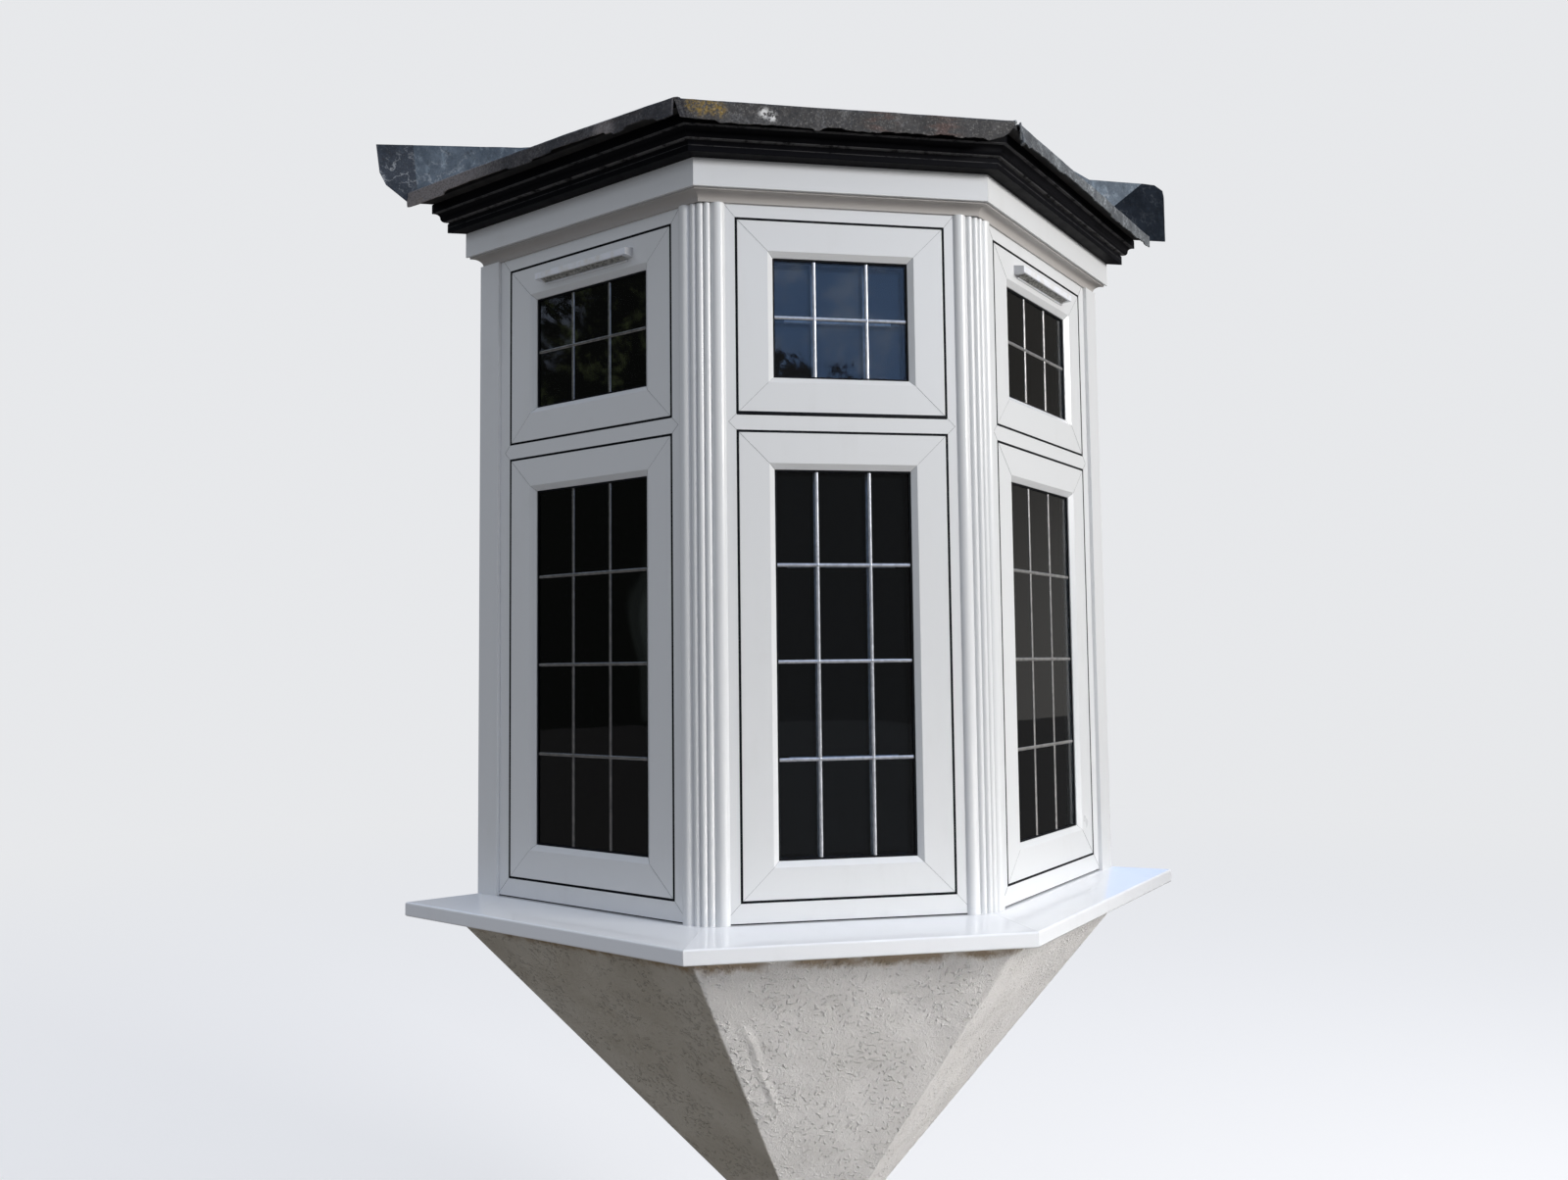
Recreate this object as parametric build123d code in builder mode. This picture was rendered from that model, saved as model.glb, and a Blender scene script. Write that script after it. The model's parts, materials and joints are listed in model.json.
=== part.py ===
from build123d import *
import math
import os

os.makedirs("parts", exist_ok=True)

# A three-sided oriel bay window that hangs on a house wall.
# The house wall's outer face is the plane Y = 0, and the bay projects to -Y.
# X = 0 is the centreline, and Z = 0 is where the sill rests on the corbel.
# An "out" value is a distance in front of the window faces, negative behind them.

# Plan of the bay
CANT = 45.0
FACE_HALF = 268.5
SIDE_SASH_WIDTH = 437.7
CORNER_TO_SASH = 71.0

# Heights of the sashes
LOWER_SASH_BASE = 82.0
LOWER_SASH_HEIGHT = 851.0
SASH_SPACING = 37.0
UPPER_SASH_HEIGHT = 362.0

# Corbel, and how far it reaches past the plan of the window faces
CORBEL_FRONT_LAP = 58.0
CORBEL_CORNER_LAP = 30.5
CORBEL_WALL_LAP = 60.0
CORBEL_DROP = 768.0
CORBEL_TIP_HEIGHT = 40.0
CORE_RISE = 15.0

# Sill
SILL_OUT = 110.0
SILL_NOSE = 28.0
SILL_SEAT = 40.0
SILL_SEAT_OUT = 8.0
SILL_NOSE_RADIUS = 4.0
DRIP_GROOVE_WIDTH = 6.0
DRIP_GROOVE_DEPTH = 4.0
DRIP_GROOVE_INSET = 15.0

# Frames and the sashes in them
FRAME_DEPTH = 70.0
FRAME_CORNER_GAP = 5.0
FRAME_HEAD_RAIL = 40.5
SASH_GAP = 3.5
STOP_DEPTH = 20.0
STOP_LAP = 15.0
SHADOW_JOINT = 3.0
SHADOW_JOINT_DEPTH = 6.0
SASH_FACE = 57.0
SASH_BEVEL_WIDTH = 10.5
SASH_BEVEL_DEPTH = 8.5
SASH_EDGE_RADIUS = 1.5

# Double glazing and its beads
GLASS_SETBACK = 13.0
GLASS_REBATE = 14.0
PANE = 4.0
UNIT_THICKNESS = 28.0
GLASS_EDGE_GAP = 2.0
BEAD_DEPTH = 14.0
BEAD_BEVEL = 9.0

# Corner posts
POLE_FRONT = 26.0
POLE_BORE_RADIUS = 12.0
POLE_BORE_SETBACK = 18.0
BULL_REED_RADIUS = 15.0
BULL_REED_ALONG = 36.0
BULL_REED_SINK = 8.0
FLUTE_RADIUS = 6.7
FLUTE_PITCH = 12.9
FLUTE_SINK = 8.5
FLUTE_DROP = 2.0
INNER_COVER_LEG = 26.0
INNER_COVER_THICKNESS = 3.0

# Strips that close the side frames against the house wall
WALL_TRIM_FACE = 43.72
WALL_TRIM_OUT = 8.0
WALL_TRIM_LAP = 5.0

# Cove, fascia and cornice
COVE_FLAT = 4.0
COVE_RADIUS = 16.0
COVE_LIP = 3.0
COVE_LIP_OUT = 24.0
FASCIA_BACK = 12.0
FASCIA_FACE = 30.0
FASCIA_RISE = 4.0
FASCIA_GROOVE_WIDTH = 2.5
FASCIA_GROOVE_DEPTH = 2.5
FASCIA_GROOVE_INSET = 4.0
FASCIA_SHOW = 52.0
FASCIA_ARRIS_RADIUS = 1.2
CORNICE_BAND_OUT = 27.0
CORNICE_BAND_HEIGHT = 20.0
CORNICE_QUIRK_DEPTH = 1.5
CORNICE_QUIRK_HEIGHT = 2.0
CORNICE_STEP = 2.0
CORNICE_OGEE_RADIUS = 9.0
CORNICE_FILLET_OUT = 3.0
CORNICE_FILLET_HEIGHT = 20.0
CORNICE_ARRIS_RADIUS = 1.0

# Boards inside the bay
WINDOW_BOARD = 25.0
CEILING_BOARD = 26.0

# Lead roof
ROOF_PITCH = 12.0
DECK_OUT = 100.0
DECK_EDGE = 8.0
LEAD_THICKNESS = 3.0
LEAD_OUT = 108.0
LEAD_DRIP = 36.0
LEAD_SIDE_DRIP = 24.0
FLASHING_THICKNESS = 3.0
FLASHING_UPSTAND = 87.0

# Outlines of the wall flashing, out from the roof's end and up from the foot
RIGHT_FLASHING = ((37.8, 0.0), (35.8, 127.7), (-21.2, 138.7), (-179.2, 165.7))
LEFT_FLASHING = ((7.8, 0.0), (56.8, 49.7), (75.8, 123.7), (-226.2, 135.7))

# Trickle vents
VENT_LENGTH = 250.0
VENT_OUT = 22.0
VENT_BACK_HEIGHT = 18.0
VENT_FRONT_HEIGHT = 13.0
VENT_BELOW_TOP = 39.0
VENT_EDGE_RADIUS = 1.0
VENT_SLOT_WIDTH = 15.0
VENT_SLOT_DEPTH = 4.0
VENT_END_MARGIN = 12.0

# Window handles
HANDLE_BASE_LENGTH = 110.0
HANDLE_BASE_WIDTH = 26.0
HANDLE_BASE_DEPTH = 10.0
HANDLE_NECK_RADIUS = 7.0
HANDLE_NECK_LENGTH = 20.0
HANDLE_LEVER_LENGTH = 95.0
HANDLE_LEVER_WIDTH = 18.0
HANDLE_LEVER_DEPTH = 9.0
HANDLE_INSET = 36.0

# Named clearances
SEAT_GAP = 0.3
MITRE_GAP = 0.4

# Worked out from the values above
HALF_CANT = CANT / 2
TAN_HALF = math.tan(math.radians(HALF_CANT))
SIN_HALF = math.sin(math.radians(HALF_CANT))
COS_HALF = math.cos(math.radians(HALF_CANT))
SIN_CANT = math.sin(math.radians(CANT))
COS_CANT = math.cos(math.radians(CANT))
TAN_PITCH = math.tan(math.radians(ROOF_PITCH))
FRONT_SASH_WIDTH = 2 * (FACE_HALF - CORNER_TO_SASH)
SIDE_CENTRE = CORNER_TO_SASH + SIDE_SASH_WIDTH / 2
LOWER_SASH_MIDDLE = LOWER_SASH_BASE + LOWER_SASH_HEIGHT / 2
UPPER_SASH_BASE = LOWER_SASH_BASE + LOWER_SASH_HEIGHT + SASH_SPACING
UPPER_SASH_MIDDLE = UPPER_SASH_BASE + UPPER_SASH_HEIGHT / 2
UPPER_SASH_TOP = UPPER_SASH_BASE + UPPER_SASH_HEIGHT
FRAME_BASE = SILL_SEAT
FRAME_TOP = UPPER_SASH_TOP + SASH_GAP + FRAME_HEAD_RAIL
FRAME_EDGE = FRAME_DEPTH * TAN_HALF + FRAME_CORNER_GAP
FRAME_RAIL = CORNER_TO_SASH - SASH_GAP - FRAME_EDGE
FRAME_END = CORNER_TO_SASH + SIDE_SASH_WIDTH + SASH_GAP + FRAME_RAIL
BAY_DEPTH = (FRAME_END + SEAT_GAP + WALL_TRIM_FACE) * SIN_CANT
WALL_HALF = FACE_HALF + BAY_DEPTH * COS_CANT / SIN_CANT
FASCIA_BASE = FRAME_TOP + FASCIA_RISE
COVE_BASE = FASCIA_BASE - COVE_LIP - COVE_RADIUS
CORNICE_BASE = FASCIA_BASE + FASCIA_SHOW
OGEE_BASE = CORNICE_BASE + CORNICE_BAND_HEIGHT + CORNICE_QUIRK_HEIGHT
OGEE_TOP = OGEE_BASE + 2 * CORNICE_OGEE_RADIUS
CORNICE_TOP = OGEE_TOP + CORNICE_FILLET_HEIGHT
EAVES = CORNICE_TOP + DECK_EDGE
SASH_DEPTH = FRAME_DEPTH - STOP_DEPTH - SEAT_GAP
SASH_SIGHT = SASH_FACE + SASH_BEVEL_WIDTH
REBATE_INSET = SASH_SIGHT - GLASS_REBATE
GLASS_OUT = -GLASS_SETBACK - SEAT_GAP
BEAD_OUT = GLASS_OUT - UNIT_THICKNESS - SEAT_GAP
INNER_OUT = -FRAME_DEPTH - SEAT_GAP
CEILING_BASE = FRAME_TOP - CEILING_BOARD
ROOF_CREST = EAVES + (BAY_DEPTH + DECK_OUT) * TAN_PITCH
LONG_RUN = 2 * (FACE_HALF + BAY_DEPTH)
CORBEL_REACH = BAY_DEPTH + CORBEL_FRONT_LAP
CORBEL_FRONT_HALF = FACE_HALF + CORBEL_CORNER_LAP
CORBEL_WALL_HALF = WALL_HALF + CORBEL_WALL_LAP

# The front window and the side ones as planes: X along the face, Y up, Z outward
SIDE_X = FACE_HALF + SIDE_CENTRE * COS_CANT
SIDE_Y = SIDE_CENTRE * SIN_CANT - BAY_DEPTH
FRONT = Plane(origin=(0, -BAY_DEPTH, 0), x_dir=(1, 0, 0), z_dir=(0, -1, 0))
RIGHT = Plane(
    origin=(SIDE_X, SIDE_Y, 0),
    x_dir=(COS_CANT, SIN_CANT, 0),
    z_dir=(SIN_CANT, -COS_CANT, 0),
)
LEFT = Plane(
    origin=(-SIDE_X, SIDE_Y, 0),
    x_dir=(COS_CANT, -SIN_CANT, 0),
    z_dir=(-SIN_CANT, -COS_CANT, 0),
)
WINDOWS = (("front", FRONT, FRONT_SASH_WIDTH), ("right", RIGHT, SIDE_SASH_WIDTH))
SASHES = (
    ("lower", LOWER_SASH_MIDDLE, LOWER_SASH_HEIGHT),
    ("upper", UPPER_SASH_MIDDLE, UPPER_SASH_HEIGHT),
)

# The two vertical planes that halve the corners, and the house wall
RIGHT_MITRE = Plane(origin=(FACE_HALF, -BAY_DEPTH, 0), z_dir=(COS_HALF, SIN_HALF, 0))
LEFT_MITRE = Plane(origin=(-FACE_HALF, -BAY_DEPTH, 0), z_dir=(-COS_HALF, SIN_HALF, 0))
HOUSE_WALL = Plane(origin=(0, 0, 0), x_dir=(1, 0, 0), z_dir=(0, -1, 0))

# The right corner seen in plan: X towards the front window, Y outward on the bisector
RIGHT_CORNER = Plane(
    origin=(FACE_HALF, -BAY_DEPTH, FRAME_BASE),
    x_dir=(-COS_HALF, -SIN_HALF, 0),
    z_dir=(0, 0, 1),
)


def save(part, name):
    """Label a finished piece and write its file."""
    part.label = name
    export_step(part, f"parts/{name}.step")


def save_window_piece(part, kind, side, level=""):
    """Write a piece of one window, and for the right window its mirror image too."""
    save(part, f"{kind}_{side}{level}")
    if side == "right":
        with BuildPart() as left_piece:
            mirror(part, about=Plane.YZ)
        save(left_piece.part, f"{kind}_left{level}")


def face_plane(window, height, out=0.0):
    """Return a plane on a window's face, at a height and a distance in front of it."""
    origin = window.from_local_coords((0, height, out))
    return Plane(origin=origin, x_dir=window.x_dir, z_dir=window.z_dir)


def section_plane(window):
    """Return the plane of a moulding's section: X outward from the window, Y up."""
    return Plane(origin=window.origin, x_dir=window.z_dir, z_dir=-window.x_dir)


def plan_outline(out):
    """Return the bay's outline at a distance in front of the window faces."""
    corner = FACE_HALF + out * TAN_HALF
    end = WALL_HALF + out / SIN_CANT
    front = -BAY_DEPTH - out
    return [(-end, 0), (-corner, front), (corner, front), (end, 0)]


def post_point(along, out, side=1):
    """Return a point in a corner's plan, given along a window's face and out from it."""
    x = along * COS_HALF + out * SIN_HALF
    y = -along * SIN_HALF + out * COS_HALF
    return (side * x, y)


def roof_slope(window, out, height):
    """Return the plane of a roof slope that passes over a window at a given height."""
    origin = window.from_local_coords((0, height, out))
    return Plane(origin=origin, z_dir=window.z_dir * TAN_PITCH + Vector(0, 0, 1))


def trim_run(side, wall_gap=0.0):
    """Cut a moulding's run at its mitres, and at the house wall beside a side window."""
    if side == "front":
        split(bisect_by=RIGHT_MITRE.offset(-MITRE_GAP / 2), keep=Keep.BOTTOM)
        split(bisect_by=LEFT_MITRE.offset(-MITRE_GAP / 2), keep=Keep.BOTTOM)
    else:
        split(bisect_by=RIGHT_MITRE.offset(MITRE_GAP / 2), keep=Keep.TOP)
    split(bisect_by=HOUSE_WALL.offset(wall_gap), keep=Keep.TOP)


# Corbel: an upside-down half pyramid of rendered masonry, with a core under the boards
tip_share = CORBEL_TIP_HEIGHT / CORBEL_DROP
corbel_outline = [
    (-CORBEL_WALL_HALF, 0),
    (-CORBEL_FRONT_HALF, -CORBEL_REACH),
    (CORBEL_FRONT_HALF, -CORBEL_REACH),
    (CORBEL_WALL_HALF, 0),
]
with BuildPart() as corbel:
    with BuildSketch(Plane.XY):
        with BuildLine():
            Polyline(corbel_outline, close=True)
        make_face()
    with BuildSketch(Plane.XY.offset(CORBEL_TIP_HEIGHT - CORBEL_DROP)):
        with BuildLine():
            Polyline([(x * tip_share, y * tip_share) for x, y in corbel_outline], close=True)
        make_face()
    loft(ruled=True)
    with BuildSketch(Plane.XY):
        with BuildLine():
            Polyline(plan_outline(INNER_OUT), close=True)
        make_face()
    extrude(amount=CORE_RISE)
save(corbel.part, "corbel")

# Boards inside the bay: the timber base, the window board on it, and the ceiling
inner_boards = (
    ("base_board", CORE_RISE, FRAME_BASE - CORE_RISE),
    ("window_board", FRAME_BASE, WINDOW_BOARD),
    ("ceiling_board", CEILING_BASE, CEILING_BOARD),
)
for board_name, base, thickness in inner_boards:
    with BuildPart() as board:
        with BuildSketch(Plane.XY.offset(base)):
            with BuildLine():
                Polyline(plan_outline(INNER_OUT), close=True)
            make_face()
        extrude(amount=thickness)
    save(board.part, board_name)

# Sill: mitred lengths with a sloped top, a rounded nose and a drip groove beneath
for side, window, sash_width in WINDOWS:
    with BuildPart() as sill:
        with BuildSketch(section_plane(window)) as sill_section:
            with BuildLine():
                Polyline(
                    (-FRAME_DEPTH, 0),
                    (SILL_OUT, 0),
                    (SILL_OUT, SILL_NOSE),
                    (SILL_SEAT_OUT, SILL_SEAT),
                    (-FRAME_DEPTH, SILL_SEAT),
                    close=True,
                )
            make_face()
            fillet(sill_section.vertices().group_by(Axis.X)[-1], radius=SILL_NOSE_RADIUS)
            with Locations((SILL_OUT - DRIP_GROOVE_INSET, DRIP_GROOVE_DEPTH / 2)):
                Rectangle(DRIP_GROOVE_WIDTH, DRIP_GROOVE_DEPTH, mode=Mode.SUBTRACT)
        extrude(amount=LONG_RUN, both=True)
        trim_run(side)
    save_window_piece(sill.part, "sill", side)

# Frames: welded outer frames with a transom and a stop behind each sash
for side, window, sash_width in WINDOWS:
    frame_width = sash_width + 2 * (SASH_GAP + FRAME_RAIL)
    with BuildPart() as frame:
        with BuildSketch(face_plane(window, (FRAME_BASE + FRAME_TOP) / 2)):
            Rectangle(frame_width, FRAME_TOP - FRAME_BASE)
        extrude(amount=-FRAME_DEPTH)
        for level, middle, height in SASHES:
            with BuildSketch(face_plane(window, middle)):
                Rectangle(sash_width + 2 * SASH_GAP, height + 2 * SASH_GAP)
            extrude(amount=STOP_DEPTH - FRAME_DEPTH, mode=Mode.SUBTRACT)
            with BuildSketch(face_plane(window, middle, STOP_DEPTH - FRAME_DEPTH)):
                Rectangle(sash_width - 2 * STOP_LAP, height - 2 * STOP_LAP)
            extrude(amount=-STOP_DEPTH, mode=Mode.SUBTRACT)
        with BuildSketch(face_plane(window, FRAME_BASE + SHADOW_JOINT / 2)):
            Rectangle(frame_width, SHADOW_JOINT)
        extrude(amount=-SHADOW_JOINT_DEPTH, mode=Mode.SUBTRACT)
        split(bisect_by=HOUSE_WALL, keep=Keep.TOP)
    save_window_piece(frame.part, "frame", side)

# Sashes: flush with the frames, bevelled towards the glass and rebated behind it
for side, window, sash_width in WINDOWS:
    for level, middle, height in SASHES:
        with BuildPart() as sash:
            with BuildSketch(face_plane(window, middle)):
                Rectangle(sash_width, height)
            extrude(amount=-SASH_DEPTH)
            front_face = sash.faces().sort_by(Axis(window.origin, window.z_dir))[-1]
            fillet(front_face.outer_wire().edges(), radius=SASH_EDGE_RADIUS)
            with BuildSketch(face_plane(window, middle)):
                Rectangle(sash_width - 2 * SASH_SIGHT, height - 2 * SASH_SIGHT)
            extrude(amount=-SASH_DEPTH, mode=Mode.SUBTRACT)
            with BuildSketch(face_plane(window, middle)):
                Rectangle(sash_width - 2 * SASH_FACE, height - 2 * SASH_FACE)
            with BuildSketch(face_plane(window, middle, -SASH_BEVEL_DEPTH)):
                Rectangle(sash_width - 2 * SASH_SIGHT, height - 2 * SASH_SIGHT)
            loft(mode=Mode.SUBTRACT)
            with BuildSketch(face_plane(window, middle, -GLASS_SETBACK)):
                Rectangle(sash_width - 2 * REBATE_INSET, height - 2 * REBATE_INSET)
            extrude(amount=GLASS_SETBACK - SASH_DEPTH, mode=Mode.SUBTRACT)
        save_window_piece(sash.part, "sash", side, f"_{level}")

# Glass: each sash has two panes with a cavity between them
glass_inset = REBATE_INSET + GLASS_EDGE_GAP
for side, window, sash_width in WINDOWS:
    with BuildPart() as glass:
        for level, middle, height in SASHES:
            for out in (GLASS_OUT, GLASS_OUT - UNIT_THICKNESS + PANE):
                with BuildSketch(face_plane(window, middle, out)):
                    Rectangle(sash_width - 2 * glass_inset, height - 2 * glass_inset)
                extrude(amount=-PANE)
    save_window_piece(glass.part, "glass", side)

# Glazing beads: bevelled rings that hold the glass from the room side
bead_inset = REBATE_INSET + SEAT_GAP
room_inset = SASH_SIGHT - BEAD_BEVEL
for side, window, sash_width in WINDOWS:
    with BuildPart() as beads:
        for level, middle, height in SASHES:
            with BuildSketch(face_plane(window, middle, BEAD_OUT)):
                Rectangle(sash_width - 2 * bead_inset, height - 2 * bead_inset)
            extrude(amount=-BEAD_DEPTH)
            with BuildSketch(face_plane(window, middle, BEAD_OUT)):
                Rectangle(sash_width - 2 * SASH_SIGHT, height - 2 * SASH_SIGHT)
            with BuildSketch(face_plane(window, middle, BEAD_OUT - BEAD_DEPTH)):
                Rectangle(sash_width - 2 * room_inset, height - 2 * room_inset)
            loft(mode=Mode.SUBTRACT)
    save_window_piece(beads.part, "glazing_beads", side)

# Bay poles: hollow wedges that couple the frames at the corners
pole_along = FRAME_EDGE - SEAT_GAP
pole_front_out = (pole_along * SIN_HALF - POLE_FRONT) / COS_HALF
pole_back = INNER_OUT / COS_HALF + SEAT_GAP
pole_back_out = (pole_along * SIN_HALF + pole_back) / COS_HALF
with BuildPart() as bay_poles:
    with BuildSketch(RIGHT_CORNER):
        with BuildLine():
            Polyline(
                post_point(pole_along, pole_front_out),
                post_point(pole_along, pole_back_out),
                post_point(pole_along, pole_back_out, side=-1),
                post_point(pole_along, pole_front_out, side=-1),
                close=True,
            )
        make_face()
        with Locations((0, -POLE_FRONT - POLE_BORE_SETBACK)):
            Circle(POLE_BORE_RADIUS, mode=Mode.SUBTRACT)
    extrude(amount=FRAME_TOP - FRAME_BASE)
    mirror(about=Plane.YZ)
save(bay_poles.part, "bay_poles")

# Post covers: a bull reed against each window and three fine reeds round the corner
bull_reed = post_point(BULL_REED_ALONG, -BULL_REED_SINK)
cover_edge = BULL_REED_ALONG + math.sqrt(BULL_REED_RADIUS**2 - BULL_REED_SINK**2)
cover_back = -POLE_FRONT + SEAT_GAP
cover_back_out = (pole_along * SIN_HALF + cover_back) / COS_HALF
frame_zone = cover_edge + BULL_REED_RADIUS
with BuildPart() as post_cover:
    with BuildSketch(RIGHT_CORNER):
        with BuildLine():
            Polyline(
                post_point(pole_along, SEAT_GAP),
                post_point(pole_along, cover_back_out),
                post_point(pole_along, cover_back_out, side=-1),
                post_point(pole_along, SEAT_GAP, side=-1),
                (-FLUTE_PITCH, -FLUTE_SINK - FLUTE_DROP),
                (FLUTE_PITCH, -FLUTE_SINK - FLUTE_DROP),
                close=True,
            )
        make_face()
        for reed_side in (-1, 1):
            with Locations((reed_side * bull_reed[0], bull_reed[1])):
                Circle(BULL_REED_RADIUS)
            with Locations((reed_side * FLUTE_PITCH, -FLUTE_SINK - FLUTE_DROP)):
                Circle(FLUTE_RADIUS)
        with Locations((0, -FLUTE_SINK)):
            Circle(FLUTE_RADIUS)
        for reed_side in (-1, 1):
            with BuildLine():
                Polyline(
                    post_point(pole_along, SEAT_GAP, reed_side),
                    post_point(frame_zone, SEAT_GAP, reed_side),
                    post_point(frame_zone, -FRAME_DEPTH, reed_side),
                    post_point(pole_along, -FRAME_DEPTH, reed_side),
                    close=True,
                )
            make_face(mode=Mode.SUBTRACT)
        with Locations((0, cover_back - FRAME_DEPTH / 2)):
            Rectangle(2 * frame_zone, FRAME_DEPTH, mode=Mode.SUBTRACT)
    extrude(amount=COVE_BASE - SEAT_GAP - FRAME_BASE)
save(post_cover.part, "post_cover_right")
with BuildPart() as left_post_cover:
    mirror(post_cover.part, about=Plane.YZ)
save(left_post_cover.part, "post_cover_left")

# Inner covers: angled strips over the corner joints, between the boards
inner_corner = -INNER_OUT * TAN_HALF
inner_leg_end = inner_corner + INNER_COVER_LEG
inner_back_out = INNER_OUT - INNER_COVER_THICKNESS
with BuildPart() as inner_covers:
    with BuildSketch(RIGHT_CORNER.offset(WINDOW_BOARD)):
        with BuildLine():
            Polyline(
                post_point(inner_leg_end, INNER_OUT),
                (0, INNER_OUT / COS_HALF),
                post_point(inner_leg_end, INNER_OUT, side=-1),
                post_point(inner_leg_end, inner_back_out, side=-1),
                (0, inner_back_out / COS_HALF),
                post_point(inner_leg_end, inner_back_out),
                close=True,
            )
        make_face()
    extrude(amount=CEILING_BASE - FRAME_BASE - WINDOW_BOARD)
    mirror(about=Plane.YZ)
save(inner_covers.part, "inner_covers")

# Wall trims: closing strips between the side frames and the house wall
trim_start = FRAME_END + SEAT_GAP - SIDE_CENTRE
trim_length = WALL_TRIM_FACE + FRAME_DEPTH * COS_CANT / SIN_CANT
side_plan = Plane(origin=RIGHT.origin, x_dir=RIGHT.x_dir, z_dir=(0, 0, 1))
with BuildPart() as wall_trim:
    with BuildSketch(side_plan.offset(FRAME_BASE)):
        with Locations((trim_start, 0)):
            Rectangle(trim_length, FRAME_DEPTH, align=(Align.MIN, Align.MIN))
    extrude(amount=FRAME_TOP - FRAME_BASE)
    with BuildSketch(side_plan.offset(FRAME_BASE)):
        with Locations((trim_start, 0)):
            Rectangle(trim_length, WALL_TRIM_OUT, align=(Align.MIN, Align.MAX))
        with Locations((trim_start, -SEAT_GAP)):
            Rectangle(WALL_TRIM_LAP, WALL_TRIM_OUT - SEAT_GAP, align=(Align.MAX, Align.MAX))
    extrude(amount=COVE_BASE - SEAT_GAP - FRAME_BASE)
    split(bisect_by=HOUSE_WALL, keep=Keep.TOP)
save_window_piece(wall_trim.part, "wall_trim", "right")

# Soffit cove: hollow quarter rounds between the frames and the fascia
with BuildPart() as soffit_cove:
    for side, window, sash_width in WINDOWS:
        with BuildPart() as cove_run:
            with BuildSketch(section_plane(window)):
                with BuildLine():
                    cove_arc = CenterArc(
                        (COVE_FLAT + COVE_RADIUS, COVE_BASE), COVE_RADIUS, 180, -90
                    )
                    Polyline(
                        cove_arc @ 1,
                        (COVE_LIP_OUT, COVE_BASE + COVE_RADIUS),
                        (COVE_LIP_OUT, FASCIA_BASE),
                        (FASCIA_BACK, FASCIA_BASE),
                        (FASCIA_BACK, FRAME_TOP),
                        (0, FRAME_TOP),
                        (0, COVE_BASE),
                        cove_arc @ 0,
                    )
                make_face()
            extrude(amount=LONG_RUN, both=True)
            trim_run(side)
        if side == "right":
            mirror(cove_run.part, about=Plane.YZ)
save(soffit_cove.part, "soffit_cove")

# Fascia: flat boards with a groove under the bottom edge
for side, window, sash_width in WINDOWS:
    with BuildPart() as fascia:
        with BuildSketch(section_plane(window)) as fascia_section:
            with Locations((FASCIA_BACK, FASCIA_BASE)):
                Rectangle(
                    FASCIA_FACE - FASCIA_BACK,
                    CORNICE_TOP - FASCIA_BASE,
                    align=(Align.MIN, Align.MIN),
                )
            lowest = fascia_section.vertices().group_by(Axis.Y)[0]
            fillet(lowest.sort_by(Axis.X)[-1], radius=FASCIA_ARRIS_RADIUS)
            with Locations((FASCIA_FACE - FASCIA_GROOVE_INSET, FASCIA_BASE)):
                Rectangle(
                    FASCIA_GROOVE_WIDTH,
                    FASCIA_GROOVE_DEPTH,
                    align=(Align.CENTER, Align.MIN),
                    mode=Mode.SUBTRACT,
                )
        extrude(amount=LONG_RUN, both=True)
        trim_run(side)
    save_window_piece(fascia.part, "fascia", side)

# Cornice: a band, a quirk, an ogee of two quarter rounds and a top fillet
band_face = FASCIA_FACE + CORNICE_BAND_OUT
ogee_start = band_face + CORNICE_STEP
ogee_end = ogee_start + 2 * CORNICE_OGEE_RADIUS
ogee_middle = OGEE_BASE + CORNICE_OGEE_RADIUS
band_top = CORNICE_BASE + CORNICE_BAND_HEIGHT
for side, window, sash_width in WINDOWS:
    with BuildPart() as cornice:
        with BuildSketch(section_plane(window)) as cornice_section:
            with BuildLine():
                lower_round = CenterArc(
                    (ogee_start, ogee_middle), CORNICE_OGEE_RADIUS, -90, 90
                )
                upper_hollow = CenterArc(
                    (ogee_end, ogee_middle), CORNICE_OGEE_RADIUS, 180, -90
                )
                Polyline(
                    upper_hollow @ 1,
                    (ogee_end + CORNICE_FILLET_OUT, OGEE_TOP),
                    (ogee_end + CORNICE_FILLET_OUT, CORNICE_TOP),
                    (FASCIA_FACE, CORNICE_TOP),
                    (FASCIA_FACE, CORNICE_BASE),
                    (band_face, CORNICE_BASE),
                    (band_face, band_top),
                    (band_face - CORNICE_QUIRK_DEPTH, band_top),
                    (band_face - CORNICE_QUIRK_DEPTH, OGEE_BASE),
                    lower_round @ 0,
                )
            make_face()
            outer_corners = cornice_section.vertices().group_by(Axis.X)[-1]
            band_corners = cornice_section.vertices().filter_by(
                lambda corner: abs(corner.X - band_face) < CORNICE_QUIRK_DEPTH / 2
            )
            fillet(outer_corners + band_corners, radius=CORNICE_ARRIS_RADIUS)
        extrude(amount=LONG_RUN, both=True)
        trim_run(side)
    save_window_piece(cornice.part, "cornice", side)

# Roof core: the insulated timber block on the frames, behind the fascia
with BuildPart() as roof_core:
    with BuildSketch(Plane.XY.offset(FRAME_TOP)):
        with BuildLine():
            Polyline(plan_outline(FASCIA_BACK), close=True)
        make_face()
    extrude(amount=CORNICE_TOP - FRAME_TOP)
save(roof_core.part, "roof_core")

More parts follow.
